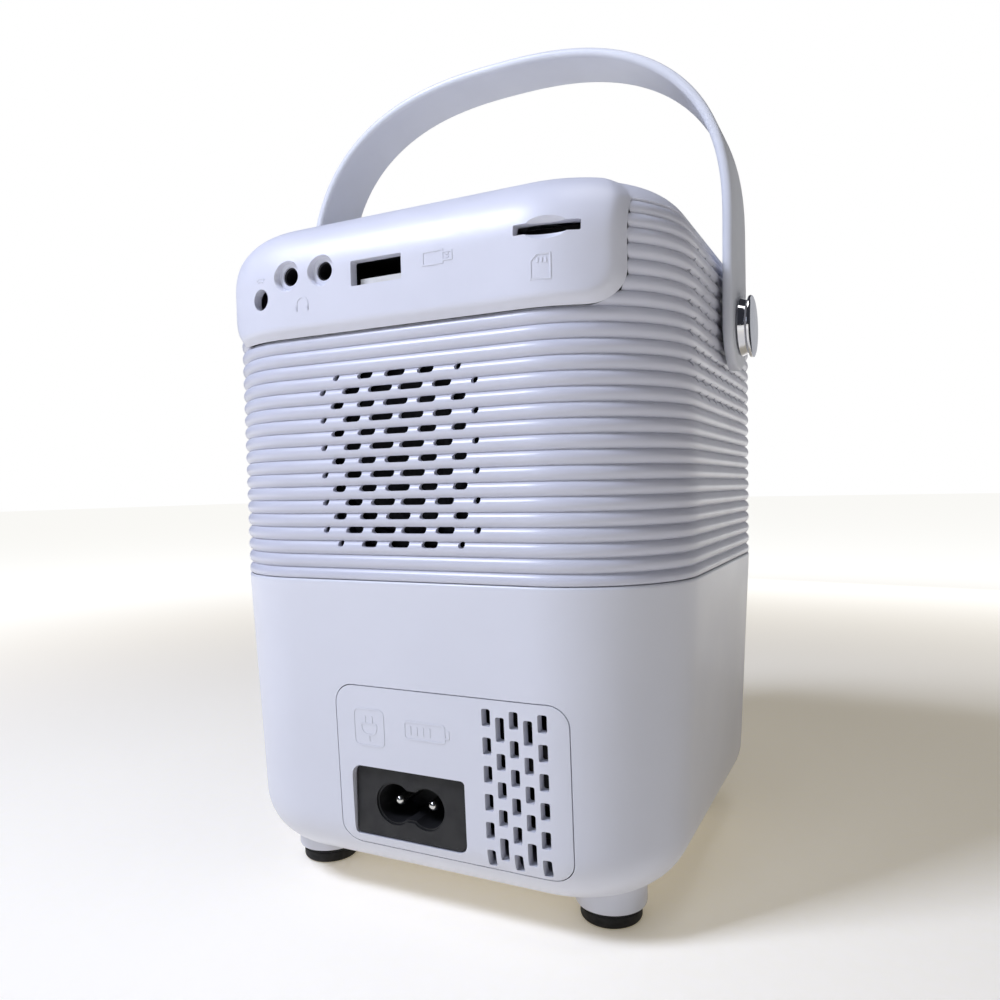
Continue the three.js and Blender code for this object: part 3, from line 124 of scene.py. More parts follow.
def areaLight(name, place, size, power, colour, aim):
    # A square lamp at its place whose face looks at the aim
    data = bpy.data.lights.new(name, "AREA")
    data.size = size * mm
    data.energy = power
    data.color = linear(colour)[:3]
    lamp = bpy.data.objects.new(name, data)
    away = np.array(place, float) - np.array(aim, float)
    away /= np.linalg.norm(away)
    side = np.cross([0.0, 0.0, 1.0], away)
    side /= np.linalg.norm(side)
    rows = np.column_stack([side, np.cross(away, side), away, np.array(place) * mm])
    lamp.matrix_world = Matrix([*rows.tolist(), [0, 0, 0, 1]])
    bpy.context.scene.collection.objects.link(lamp)


def makeStudio(look):
    # Four soft lamps and a dim world, which the camera alone sees as white
    for name in ("key", "back", "top", "front"):
        areaLight(name, look[name + "Place"], look[name + "Size"], look[name + "Power"],
                  look[name + "Colour"], look["aim"])
    world = bpy.data.worlds.new("studio")
    bpy.context.scene.world = world
    world.use_nodes = True
    tree = world.node_tree
    tree.nodes.clear()
    path = addNode(tree, "ShaderNodeLightPath")
    soft = addNode(tree, "ShaderNodeBackground",
                   {"Color": linear(look["ambient"]), "Strength": look["ambientStrength"]})
    white = addNode(tree, "ShaderNodeBackground", {"Color": linear(look["backgroundColour"])})
    mix = addNode(tree, "ShaderNodeMixShader", links={"Fac": path.outputs["Is Camera Ray"]})
    tree.links.new(soft.outputs[0], mix.inputs[1])
    tree.links.new(white.outputs[0], mix.inputs[2])
    addNode(tree, "ShaderNodeOutputWorld", links={"Surface": mix.outputs[0]})
    bpy.context.scene.view_settings.view_transform = "Standard"


makeCamera(cameraLook)
makeStudio(studio)
print("camera and lights placed")


# Materials. Each one starts from what the real surface is and how it was made.

def newMaterial(name):
    # A material's tree and shader, with the object's own coordinates to place its patterns
    material = bpy.data.materials.new(name)
    material.use_nodes = True
    tree = material.node_tree
    shader = tree.nodes["Principled BSDF"]
    place = addNode(tree, "ShaderNodeTexCoord")
    return material, tree, shader, place.outputs["Object"]


def varied(tree, place, size, low, high, detail=3.0):
    # A noise whose blotches are about one size in millimetres across, eased from low to high
    noise = addNode(tree, "ShaderNodeTexNoise", {"Scale": 1 / (size * mm), "Detail": detail},
                    {"Vector": place})
    limits = {"From Min": 0.25, "From Max": 0.75, "To Min": low, "To Max": high}
    spread = addNode(tree, "ShaderNodeMapRange", limits, {"Value": noise.outputs[0]},
                     interpolation_type="SMOOTHSTEP")
    return spread.outputs[0]


def tinted(tree, factor, first, second):
    # A colour that moves between two by the factor
    mix = addNode(tree, "ShaderNodeMix", data_type="RGBA")
    tree.links.new(factor, mix.inputs[0])
    mix.inputs[6].default_value = linear(first)
    mix.inputs[7].default_value = linear(second)
    return mix.outputs[2]


def bumped(tree, height, depth, shader, before=None):
    # Bump whose full height stands depth millimetres proud
    bump = addNode(tree, "ShaderNodeBump", {"Distance": depth * mm}, {"Height": height})
    if before:
        tree.links.new(before, bump.inputs["Normal"])
    tree.links.new(bump.outputs[0], shader.inputs["Normal"])
    return bump.outputs[0]


def mouldedPlastic(name, look):
    # Injection moulded, so a fine even spark texture, slow sink marks and a slightly uneven sheen
    material, tree, shader, place = newMaterial(name)
    patch = varied(tree, place, look["patch"], 0.0, 1.0)
    tree.links.new(tinted(tree, patch, look["colour"], look["shade"]), shader.inputs["Base Color"])
    tree.links.new(varied(tree, place, look["patch"] / 3, *look["roughness"]), shader.inputs["Roughness"])
    sink = bumped(tree, varied(tree, place, look["sinkSize"], 0.0, 1.0, 1.0), look["sink"], shader)
    bumped(tree, varied(tree, place, look["grain"], 0.0, 1.0, 2.0), look["grainDepth"], shader, sink)
    shader.inputs["IOR"].default_value = look["ior"]
    shader.inputs["Subsurface Weight"].default_value = look.get("bleed", 0.0)
    shader.inputs["Subsurface Radius"].default_value = (1.0, 0.95, 0.9)
    shader.inputs["Subsurface Scale"].default_value = look.get("bleedReach", 1.0) * mm
    return material


# ABS, moulded and satin: a cool white with the faint lilac of an optical brightener.
# The real spark grain is about 0.05 mm and would not show, so it is drawn at 0.5 mm and very shallow.
absMoulded = mouldedPlastic("ABS moulded white satin", {
    "colour": "#DBDCE6", "shade": "#D6D7E1", "roughness": (0.34, 0.44), "ior": 1.53, "patch": 26,
    "grain": 0.5, "grainDepth": 0.0016, "sinkSize": 34, "sink": 0.05, "bleed": 0.12, "bleedReach": 0.8})
# The ribs come from a polished tool: crisp highlights on their crests. The colour is a little greyer than
# the other white ABS as painted shade, for the shade that falls between the ribs
absRibbedPaintedShade = mouldedPlastic("ABS moulded white ribbed painted shade", {
    "colour": "#CFD0DB", "shade": "#CACBD7", "roughness": (0.285, 0.35), "ior": 1.53, "patch": 26,
    "grain": 0.5, "grainDepth": 0.001, "sinkSize": 34, "sink": 0.03, "bleed": 0.1, "bleedReach": 0.6})
# The lower case comes from a smoother tool: wider, glossier highlights and longer sink waves
absSmooth = mouldedPlastic("ABS moulded white smooth", {
    "colour": "#DCDDE5", "shade": "#D8D9E1", "roughness": (0.29, 0.37), "ior": 1.53, "patch": 40,
    "grain": 0.6, "grainDepth": 0.0008, "sinkSize": 46, "sink": 0.06, "bleed": 0.12, "bleedReach": 0.8})
# The strap is polypropylene, which bends without cracking: a little greyer and waxier than ABS
strapMoulded = mouldedPlastic("polypropylene moulded strap white", {
    "colour": "#D6D8DF", "shade": "#D0D2D9", "roughness": (0.36, 0.48), "ior": 1.49, "patch": 18,
    "grain": 0.45, "grainDepth": 0.0014, "sinkSize": 22, "sink": 0.04, "bleed": 0.1, "bleedReach": 0.6})
# Black glass-filled nylon of the sockets: matt, with a dry speckle where the filler reaches the skin
nylonBlack = mouldedPlastic("nylon moulded black matt", {
    "colour": "#0F0F11", "shade": "#151517", "roughness": (0.5, 0.66), "ior": 1.53, "patch": 9,
    "grain": 0.35, "grainDepth": 0.004, "sinkSize": 16, "sink": 0.03})
# ABS from a polished tool, black, for the lens side: deep and glossy, with long clean reflections
absBlackGloss = mouldedPlastic("ABS moulded black gloss", {
    "colour": "#101114", "shade": "#141519", "roughness": (0.12, 0.22), "ior": 1.54, "patch": 16,
    "grain": 0.5, "grainDepth": 0.0008, "sinkSize": 30, "sink": 0.05})
# ABS moulded grey, for hidden frames and washers: plain and dull
absGrey = mouldedPlastic("ABS moulded grey", {
    "colour": "#8D9099", "shade": "#83868F", "roughness": (0.4, 0.55), "ior": 1.53, "patch": 14,
    "grain": 0.5, "grainDepth": 0.003, "sinkSize": 24, "sink": 0.04})
# ABS sprayed silver-grey, for the key caps: an even, soft sheen
keyPainted = mouldedPlastic("ABS key cap painted grey", {
    "colour": "#A9ABB8", "shade": "#A0A2AF", "roughness": (0.36, 0.46), "ior": 1.5, "patch": 6,
    "grain": 0.3, "grainDepth": 0.002, "sinkSize": 9, "sink": 0.015})
# Liquid crystal polymer moulded white, for the socket's tongue: bone-coloured and dry
tongueMoulded = mouldedPlastic("LCP moulded tongue white", {
    "colour": "#E7E6E2", "shade": "#DAD9D4", "roughness": (0.4, 0.5), "ior": 1.55, "patch": 4,
    "grain": 0.3, "grainDepth": 0.002, "sinkSize": 8, "sink": 0.01})


def rubberMoulded():
    # Compression moulded nitrile rubber: dull, dusty bloom in patches, fine open grain
    material, tree, shader, place = newMaterial("nitrile rubber moulded black")
    bloom = varied(tree, place, 3.0, 0.0, 1.0, 5.0)
    tree.links.new(tinted(tree, bloom, "#090909", "#111112"), shader.inputs["Base Color"])
    tree.links.new(varied(tree, place, 2.0, 0.62, 0.82), shader.inputs["Roughness"])
    bumped(tree, varied(tree, place, 0.4, 0.0, 1.0), 0.02, shader)
    shader.inputs["IOR"].default_value = 1.52
    return material


def chromePlated():
    # Plated on polished ABS: mirror-like, the moulding's slow waves bend the reflections, fine wipe marks
    material, tree, shader, place = newMaterial("chrome plated cap")
    shader.inputs["Metallic"].default_value = 1.0
    haze = varied(tree, place, 2.5, 0.0, 1.0)
    tree.links.new(tinted(tree, haze, "#DADBE0", "#E8E8EA"), shader.inputs["Base Color"])
    tree.links.new(varied(tree, place, 1.2, 0.04, 0.11), shader.inputs["Roughness"])
    bumped(tree, varied(tree, place, 5.0, 0.0, 1.0, 1.0), 0.03, shader)
    return material


def metalSheet(name, colour, shade, roughness, grain, depth):
    # Rolled, drawn or turned metal: fine scratches along X that streak its highlights
    material, tree, shader, place = newMaterial(name)
    shader.inputs["Metallic"].default_value = 1.0
    stretch = addNode(tree, "ShaderNodeMapping", {"Scale": (0.12, 1.0, 1.0)}, {"Vector": place})
    scratch = varied(tree, stretch.outputs[0], grain, 0.0, 1.0)
    tree.links.new(tinted(tree, scratch, colour, shade), shader.inputs["Base Color"])
    tree.links.new(varied(tree, stretch.outputs[0], grain * 2, *roughness), shader.inputs["Roughness"])
    bumped(tree, scratch, depth, shader)
    return material


def boardMask():
    # Green solder mask screened over glass fibre: glossy, the weave of the cloth just shows through
    material, tree, shader, place = newMaterial("solder mask on glass fibre green")
    weave = addNode(tree, "ShaderNodeTexWave", {"Scale": 1 / (1.2 * mm * turn), "Distortion": 0.4},
                    {"Vector": place}, bands_direction="DIAGONAL")
    tree.links.new(tinted(tree, weave.outputs["Fac"], "#1B5A3C", "#226847"), shader.inputs["Base Color"])
    tree.links.new(varied(tree, place, 5.0, 0.29, 0.38), shader.inputs["Roughness"])
    bumped(tree, weave.outputs["Fac"], 0.01, shader)
    return material


def paperPressed():
    # Pressed paper pulp dyed black: matt, fibrous
    material, tree, shader, place = newMaterial("paper pressed black cone")
    fibre = varied(tree, place, 0.8, 0.0, 1.0, 6.0)
    tree.links.new(tinted(tree, fibre, "#19191B", "#262628"), shader.inputs["Base Color"])
    shader.inputs["Roughness"].default_value = 0.92
    bumped(tree, fibre, 0.08, shader)
    return material


def filmShrunk():
    # PVC film shrunk round the cells: glossy blue with slow wrinkles
    material, tree, shader, place = newMaterial("PVC film shrunk blue")
    wrinkle = varied(tree, place, 7.0, 0.0, 1.0, 4.0)
    tree.links.new(tinted(tree, wrinkle, "#2F5F9C", "#2A568F"), shader.inputs["Base Color"])
    tree.links.new(varied(tree, place, 4.0, 0.16, 0.26), shader.inputs["Roughness"])
    bumped(tree, wrinkle, 0.12, shader)
    return material


def lensCoated():
    # Ground and polished glass with a violet-green anti-reflection coat and a trace of dust
    material, tree, shader, place = newMaterial("glass polished coated")
    dust = varied(tree, place, 0.9, 0.0, 0.05, 6.0)
    tree.links.new(dust, shader.inputs["Roughness"])
    tint = varied(tree, place, 30.0, 0.0, 1.0, 1.0)
    tree.links.new(tinted(tree, tint, "#E9F0F4", "#DDE6F2"), shader.inputs["Base Color"])
    shader.inputs["Transmission Weight"].default_value = 1.0
    shader.inputs["IOR"].default_value = 1.52
    shader.inputs["Thin Film Thickness"].default_value = 420.0
    shader.inputs["Thin Film IOR"].default_value = 1.38
    return material


def mirrorSilvered():
    # Front-silvered glass: almost perfect, with a faint haze from handling
    material, tree, shader, place = newMaterial("glass front silvered")
    shader.inputs["Metallic"].default_value = 1.0
    haze = varied(tree, place, 9.0, 0.0, 1.0)
    tree.links.new(tinted(tree, haze, "#E6E8EA", "#F0F1F2"), shader.inputs["Base Color"])
    tree.links.new(varied(tree, place, 6.0, 0.01, 0.05), shader.inputs["Roughness"])
    bumped(tree, haze, 0.002, shader)
    return material


def floorPaper():
    # Seamless paper sweep, warm white, with the slightest tooth
    material, tree, shader, place = newMaterial("paper seamless warm white")
    tooth = varied(tree, place, 3.0, 0.0, 1.0)
    paper = tinted(tree, tooth, "#F6F4EC", "#F8F6EF")
    tree.links.new(paper, shader.inputs["Base Color"])
    # The sheet's emission is painted light: it glows more with distance from the middle, so it stays pale to
    # the horizon, and near the middle a faint cream glow lights the case from below
    far = addNode(tree, "ShaderNodeVectorMath", operation="LENGTH", links={0: place})
    limits = {"From Min": studio["glowStart"] * mm, "From Max": studio["glowEnd"] * mm,
              "To Min": studio["glowNear"], "To Max": studio["glowFar"]}
    glow = addNode(tree, "ShaderNodeMapRange", limits, {"Value": far.outputs["Value"]},
                   interpolation_type="SMOOTHSTEP")
    tree.links.new(glow.outputs[0], shader.inputs["Emission Strength"])
    limits = {"From Min": studio["glowNear"], "From Max": studio["glowFar"]}
    cream = addNode(tree, "ShaderNodeMapRange", limits, {"Value": glow.outputs[0]})
    colour = tinted(tree, cream.outputs[0], studio["glowNearColour"], studio["glowFarColour"])
    tree.links.new(colour, shader.inputs["Emission Color"])
    shader.inputs["Roughness"].default_value = 0.85
    bumped(tree, tooth, 0.02, shader)
    return material


slotFinish = {
    "white_shell": absMoulded, "white_strap": strapMoulded, "black_plastic": nylonBlack,
    "rubber_foot": rubberMoulded(), "chrome_cap": chromePlated(),
    # Steel, rolled and zinc plated: a cool grey with blurred highlights
    "steel": metalSheet("steel zinc plated", "#9EA0A2", "#B2B4B5", (0.28, 0.42), 0.8, 0.01),
    # Nickel plated on drawn brass: warm, with sharper highlights than zinc
    "plated_metal": metalSheet("nickel plated sheet", "#C9C8C4", "#D6D5D0", (0.16, 0.26), 0.6, 0.004),
    "grey_plastic": absGrey, "key_plastic": keyPainted, "circuit_board": boardMask(),
    "lens_glass": lensCoated(), "mirror_glass": mirrorSilvered(),
    # Aluminium, extruded along X: pale and satin, with the die's lines along it
    "aluminium": metalSheet("aluminium extruded", "#B4B7B9", "#C2C5C6", (0.3, 0.45), 1.0, 0.01),
    "paper_cone": paperPressed(), "battery_wrap": filmShrunk(),
}
# Nickel plated sheet for the socket's shell, coloured near black as painted shade for the dark inside of the
# socket, so that only its edges catch light
usbShellPaintedShade = metalSheet("nickel plated painted shade black", "#26272A", "#2E2F33", (0.3, 0.42), 0.6, 0.004)
# Steel, pressed and painted black, for the loudspeaker's frame: near black and even behind the grille,
# partly the frame's black paint and partly painted shade for the dark behind the grille's holes
blackSteelAndGrilleShade = metalSheet("steel pressed black and grille shade", "#1B1C1E", "#222326", (0.45, 0.6), 0.8, 0.01)
nodeFinish = {"speaker_frame": blackSteelAndGrilleShade}
nodeSlots = {part["node"]: part["material_slot"] for part in frame["record"]["subparts"]}
for nodeName, node in nodes.items():
    node.data.materials.clear()
    node.data.materials.append(nodeFinish.get(nodeName, slotFinish[nodeSlots[nodeName]]))
print("materials made")


# Shape tools. Points are arrays in millimetres, and a shape is its points with its faces.

def gridFaces(rows, columns, closeRows=False, closeColumns=False):
    # The four-sided faces between neighbours of a grid of points, wrapped round where it closes
    row = np.arange(rows if closeRows else rows - 1)[:, None]
    column = np.arange(columns if closeColumns else columns - 1)
    after = (column + 1) % columns
    below = ((row + 1) % rows) * columns
    here = row * columns
    faces = np.stack([here + column, here + after, below + after, below + column], -1)
    return faces.reshape(-1, 4).tolist()


def makePiece(name, points, faces, material, smooth=35):
    # Faces that look inward on the whole, by face area times distance from the middle, are turned round
    mesh = bpy.data.meshes.new(name)
    mesh.from_pydata((np.asarray(points) * mm).tolist(), [], faces)
    centres = np.empty(len(mesh.polygons) * 3)
    normals = np.empty(len(mesh.polygons) * 3)
    areas = np.empty(len(mesh.polygons))
    mesh.polygons.foreach_get("center", centres)
    mesh.polygons.foreach_get("normal", normals)
    mesh.polygons.foreach_get("area", areas)
    centres = centres.reshape(-1, 3)
    middle = (centres * areas[:, None]).sum(0) / areas.sum()
    if (((centres - middle) * normals.reshape(-1, 3)).sum(1) * areas).sum() < 0:
        mesh.flip_normals()
    mesh.materials.append(material)
    piece = bpy.data.objects.new(name, mesh)
    bpy.context.scene.collection.objects.link(piece)
    if smooth:
        mesh.shade_smooth()
        mesh.set_sharp_from_angle(angle=np.radians(smooth))
    return piece


def joined(*shapes):
    # Several shapes as one, with each one's face numbers moved past the points before it
    points, faces, count = [], [], 0
    for shapePoints, shapeFaces in shapes:
        points.append(shapePoints)
        faces += [[i + count for i in face] for face in shapeFaces]
        count += len(shapePoints)
    return np.concatenate(points), faces


def onAxis(axis, across, along, up):
    # Places a profile's coordinates so that "along" runs on the named axis
    order = {"x": (along, across, up), "y": (across, along, up), "z": (across, up, along)}[axis]
    return np.stack(np.broadcast_arrays(*order), -1)


def turned(profile, axis, centre, steps=64, teeth=None):
    # Radius and height pairs carried round an axis. Ends on the axis become poles, other profiles close
    # on themselves. A tooth function, where given, changes the radius with the angle.
    profile = np.asarray(profile, float)
    angle = np.linspace(0, turn, steps, endpoint=False)
    poled = profile[0, 0] == 0
    rings = profile[1:-1] if poled else profile
    radius = rings[:, :1] * np.ones(steps)
    if teeth is not None:
        radius = teeth(radius, angle)
    points = onAxis(axis, radius * np.cos(angle), rings[:, 1:] * np.ones(steps), radius * np.sin(angle))
    points = points.reshape(-1, 3)
    faces = gridFaces(len(rings), steps, not poled, True)
    if poled:
        ends = onAxis(axis, np.zeros(2), profile[[0, -1], 1], np.zeros(2))
        first, last = len(points), len(points) + 1
        points = np.vstack([points, ends])
        start = (len(rings) - 1) * steps
        faces += [[first, (i + 1) % steps, i] for i in range(steps)]
        faces += [[last, start + i, start + (i + 1) % steps] for i in range(steps)]
    return points + np.asarray(centre, float), faces


def prism(outline, low, high, axis="y", ease=0.0, steps=3):
    # An outline carried along an axis from low to high. With ease, both rims round over by a quarter
    # circle of that radius, drawn by moving the outline in along its own normals.
    outline = np.asarray(outline, float)
    if ease:
        arc = np.linspace(0, np.pi / 2, steps + 1)
        inset = np.concatenate([ease * (1 - np.sin(arc)), ease * (1 - np.cos(arc))])
        level = np.concatenate([low + ease * (1 - np.cos(arc)), high - ease * (1 - np.sin(arc))])
    else:
        inset, level = np.zeros(2), np.array([low, high])
    ahead = np.roll(outline, -1, 0) - outline
    ahead /= np.linalg.norm(ahead, axis=1)[:, None]
    mean = ahead + np.roll(ahead, 1, 0)
    normal = np.column_stack([mean[:, 1], -mean[:, 0]])
    normal /= (normal * np.column_stack([ahead[:, 1], -ahead[:, 0]])).sum(1)[:, None]
    area = (outline[:, 0] * np.roll(outline[:, 1], -1) - np.roll(outline[:, 0], -1) * outline[:, 1]).sum()
    rings = outline[None] - normal[None] * inset[:, None, None] * np.sign(area)
    count = len(outline)
    points = onAxis(axis, rings[..., 0], level[:, None] * np.ones(count), rings[..., 1]).reshape(-1, 3)
    faces = gridFaces(len(level), count, False, True)
    last = (len(level) - 1) * count
    faces += [list(range(count))[::-1], list(range(last, last + count))]
    return points, faces


def arcPoints(cx, cz, radius, first, last, steps):
    # Points on a circle between two angles in degrees
    angle = np.radians(np.linspace(first, last, steps + 1))
    return np.column_stack([cx + radius * np.cos(angle), cz + radius * np.sin(angle)])


def roundedBox(left, right, bottom, top, radii, steps=6):
    # A rectangle whose corners are arcs, from the lower right corner on, anticlockwise
    radii = np.broadcast_to(radii, 4)
    corners = ((right, bottom, 1, -1), (right, top, 1, 1), (left, top, -1, 1), (left, bottom, -1, -1))
    arcs = [arcPoints(x - sx * r, z - sz * r, r, 90 * i - 90, 90 * i, steps)
            for i, ((x, z, sx, sz), r) in enumerate(zip(corners, radii))]
    return np.concatenate(arcs)


def centredBox(cx, cz, width, height, radii, steps=6):
    # A rounded rectangle about its middle
    return roundedBox(cx - width / 2, cx + width / 2, cz - height / 2, cz + height / 2, radii, steps)


def circle(cx, cz, radius, steps=32):
    # A full turn of an arc, without its last point, which would be the first again
    return arcPoints(cx, cz, radius, 0, 360 - 360 / steps, steps - 1)


def pill(cx, cz, width, height, steps=6, upright=False):
    # Two half circles joined by straight sides
    r = (width if upright else height) / 2
    reach = max((height if upright else width) / 2 - r, 0.01)
    ends = np.concatenate([arcPoints(reach, 0, r, -90, 90, steps), arcPoints(-reach, 0, r, 90, 270, steps)])
    if upright:
        ends = ends[:, ::-1] * [-1, 1]
    return ends + [cx, cz]


def cutPiece(piece, shape, operation="DIFFERENCE", smooth=35):
    # Cuts a piece with a closed shape, or joins the two, and keeps the result as its mesh
    cutter = makePiece("cutter", *shape, None, 0)
    cutter.data.materials.clear()
    modifier = piece.modifiers.new("cut", "BOOLEAN")
    modifier.operation = operation
    modifier.solver = "MANIFOLD"
    modifier.object = cutter
    settle(piece, smooth)
    bpy.data.objects.remove(cutter)


def settle(piece, smooth=35):
    # Applies a piece's modifiers
    bpy.context.view_layer.update()
    graph = bpy.context.evaluated_depsgraph_get()
    mesh = bpy.data.meshes.new_from_object(piece.evaluated_get(graph))
    old = piece.data
    piece.modifiers.clear()
    piece.data = mesh
    mesh.name = piece.name
    bpy.data.meshes.remove(old)
    mesh.shade_smooth()
    mesh.set_sharp_from_angle(angle=np.radians(smooth))


def giveWall(piece):
    # Thickens an open skin inwards by the case's wall
    modifier = piece.modifiers.new("wall", "SOLIDIFY")
    modifier.thickness = case["wall"] * mm
    modifier.offset = -1
    modifier.use_even_offset = True
    settle(piece)


def shrunkRings(ring, scales):
    # Copies of a level ring, drawn in towards the middle by each scale
    scales = np.array(scales)
    return ring[None] * np.stack([scales, scales, np.ones(len(scales))], -1)[:, None]


def poleFaces(count, pole):
    # Triangles from the ring of points just before the pole to the pole
    return [[pole - count + i, pole - count + (i + 1) % count, pole] for i in range(count)]


def ballTip(radius, tip):
    # The profile of a half ball, between its widest point and its tip
    arc = np.linspace(0, np.pi / 2, 8)[1:-1]
    return [[radius * np.cos(a), tip - radius + radius * np.sin(a)] for a in arc]


def fit(piece, body, slotName, *replaced):
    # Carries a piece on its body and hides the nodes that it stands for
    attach(piece, body)
    if replaced:
        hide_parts(*replaced)
    return piece


# The case's plan and profile, which the sleeve, the lid and the lower case share

sleeveLow, sleeveHigh = nodeCorners("upper_housing")
lidLow, lidHigh = nodeCorners("top_cover")
tubLow, tubHigh = nodeCorners("lower_housing")

case = {
    "halfX": sleeveHigh[0], "halfY": sleeveHigh[1], "corner": 28.0, "wall": 2.2,
    "top": lidHigh[2], "crownRun": 12.0, "crownRise": 14.0,
    "pitch": 3.03, "ribDepth": 0.92, "lidSeam": 0.3,
    "taper": 0.045, "baseHeight": 7.3, "baseFillet": 13.0, "cornerSteps": 18, "sideSteps": 10,
    "clear": 5.0,  # how far a cutting shape stands out past the wall
}
flatX = case["halfX"] - case["corner"]
flatY = case["halfY"] - case["corner"]
lidEdge = sleeveHigh[2] + case["lidSeam"]


def planColumns():
    # Each column of a ring stands at a centre and looks along a normal: a corner's columns share the
    # corner's centre, and a side's columns share the side's normal.
    corner, side = case["cornerSteps"], case["sideSteps"]
    centres, normals = [], []
    for i, (sx, sy) in enumerate(((1, 1), (-1, 1), (-1, -1), (1, -1))):
        angle = np.radians(90 * i + np.linspace(0, 90, corner + 1))
        look = np.column_stack([np.cos(angle), np.sin(angle)])
        here = np.array([sx * flatX, sy * flatY])
        nextX, nextY = ((-1, 1), (-1, -1), (1, -1), (1, 1))[i]
        there = np.array([nextX * flatX, nextY * flatY])
        share = np.linspace(0, 1, side + 1)[1:-1, None]
        centres += [np.tile(here, (corner + 1, 1)), here + (there - here) * share]
        normals += [look, np.tile(look[-1], (side - 1, 1))]
    return np.concatenate(centres), np.concatenate(normals)


planCentres, planNormals = planColumns()


def planRings(inset):
    # One ring for each inset: the plan's outline moved in along its normals
    reach = case["corner"] - np.asarray(inset, float)[:, None, None]
    return planCentres[None] + reach * planNormals[None]


def crownInset(z):
    # A quarter ellipse from the upright wall to the flat top
    share = np.clip((np.asarray(z, float) - case["top"] + case["crownRise"]) / case["crownRise"], 0, 1)
    return case["crownRun"] * (1 - np.sqrt(1 - share ** 2))


def tubInset(z):
    # The wall's slow taper, and below it a quarter circle in to the flat base
    z = np.asarray(z, float)
    drop = np.clip((case["baseHeight"] + case["baseFillet"] - z) / case["baseFillet"], 0, 1)
    return (tubHigh[2] - z) * case["taper"] + case["baseFillet"] * (1 - np.sqrt(1 - drop ** 2))


def wallY(x, inset):
    # The back wall's Y at an X, for a plan moved in by the inset: straight, then round the corner
    past = np.clip(np.abs(x) - flatX, 0, None)
    return flatY + np.sqrt(np.clip((case["corner"] - inset) ** 2 - past ** 2, 0, None))


# The ribbed sleeve, pierced by the grilles

sleeve = {
    "rowsPerRib": 10, "innerRows": 16, "seamGap": 0.04, "seamEase": 0.3,
    "apronGap": -0.05, "apronDepth": 19.4, "lensWindow": 29.9, "lensHeight": 112.0, "lensDepth": 8.0,
    "holePitch": 7.6, "holeHeight": 1.45,
    "backRows": 13, "backFirstGroove": 10.2, "backHoleDepth": 6.0, "backDot": 1.65,
    "backWidths": ((6, 6.2), (13, 4.6), (17, 3.5)),  # a hole's width out to each distance from the middle
    "backEndWidths": ((6, 5.2), (13, 4.0)),  # the same in the first and the last row
    "sideRows": 11, "sideFirstGroove": 2, "sideHoleDepth": 12.0, "sideDot": 1.7, "sideDrop": 0.35,
    "sideReach": 34.5, "sideEndReach": 27.0,
    "grilleSkin": 0.45, "backPocket": 22.0, "sidePocket": 33.0, "pocketRound": 3.0,
}
apron = {
    "halfWidth": 48.8, "bottom": lidLow[2], "corner": 7.0, "rim": 2.4, "proud": 1.6,
    "rimSteps": (0, 0.25, 0.55, 0.9, 1.3, 1.8, 2.4),  # rows and columns this far in from the outline
    "nextSteps": (3.4, 5, 7, 9.5), "middleColumns": 18, "edgeClear": 1.5, "cornerSteps": 10, "upperRows": 16,
}


def ribInset(z):
    # Ribs that meet in sharp grooves, one each pitch, counted down from the lid's edge. Each is an arc
    # whose chord is the pitch and whose height is the depth, so its radius is chord squared over eight
    # heights, plus half a height.
    along = (lidEdge - z) / case["pitch"]
    across = (along - np.floor(along) - 0.5) * case["pitch"]
    radius = case["pitch"] ** 2 / (8 * case["ribDepth"]) + case["ribDepth"] / 2
    return radius - np.sqrt(radius ** 2 - across ** 2)


def grooveHeight(row):
    # Whole pitches down from the lid's edge
    return lidEdge - case["pitch"] * row


def backGrilleOutlines():
    # Rows of six holes between rows of five; a hole is long in the middle and a dot at the end
    outlines = []
    for row in range(sleeve["backRows"]):
        z = grooveHeight(sleeve["backFirstGroove"] + row)
        count = 6 if row % 2 else 5
        widths = sleeve["backEndWidths" if row in (0, sleeve["backRows"] - 1) else "backWidths"]
        for i in range(count):
            x = sleeve["holePitch"] * ((count - 1) / 2 - i)
            width = next((wide for limit, wide in widths if abs(x) < limit), sleeve["backDot"])
            outlines.append(pill(x, z, width, sleeve["holeHeight"], 4))
    return outlines


def sideGrilleOutlines():
    # Dots in staggered rows, a half pitch apart, the first and the last row shorter
    outlines = []
    for row in range(sleeve["sideRows"]):
        groove = sleeve["sideFirstGroove"] + row
        z = grooveHeight(groove) - sleeve["sideDrop"]
        start = 0.0 if groove % 2 else sleeve["holePitch"] / 2
        reach = sleeve["sideEndReach" if row in (0, sleeve["sideRows"] - 1) else "sideReach"]
        outlines += [circle(side * y, z, sleeve["sideDot"] / 2, 10)
                     for y in np.arange(start, reach, sleeve["holePitch"]) for side in (1, -1)
                     if y or side > 0]
    return outlines


def apronOutline(grow):
    # A straight-sided tongue with round lower corners, open to the top
    half, low = apron["halfWidth"] + grow, apron["bottom"] - grow
    radius = apron["corner"] + grow
    return roundedBox(-half, half, low, case["top"] + case["crownRise"], (radius, 0.01, 0.01, radius), 12)


def sleeveSkin():
    # A profile of z and inset, ribbed outside and plain inside, carried round the plan and closed
    count = int((lidEdge - sleeveLow[2]) / case["pitch"]) + 1
    share = np.linspace(0, 1, sleeve["rowsPerRib"] + 1)[:-1]
    outer = lidEdge - case["pitch"] * (np.arange(count)[:, None] + share).ravel()
    ease = sleeve["seamEase"]
    bottom = tubHigh[2] + sleeve["seamGap"]
    outer = outer[(outer < sleeveHigh[2]) & (outer > bottom + ease)]
    outer = np.concatenate([[sleeveHigh[2]], outer, [bottom + ease, bottom]])
    inset = crownInset(outer) + ribInset(outer)
    inset[-1] += ease
    inner = np.linspace(bottom, sleeveHigh[2], sleeve["innerRows"])
    heights = np.concatenate([outer, inner])
    insets = np.concatenate([inset, crownInset(inner) + case["wall"]])
    rings = planRings(insets)
    columns = rings.shape[1]
    points = np.concatenate([rings, np.repeat(heights[:, None, None], columns, 1)], -1)
    return points.reshape(-1, 3), gridFaces(len(heights), columns, True, True)


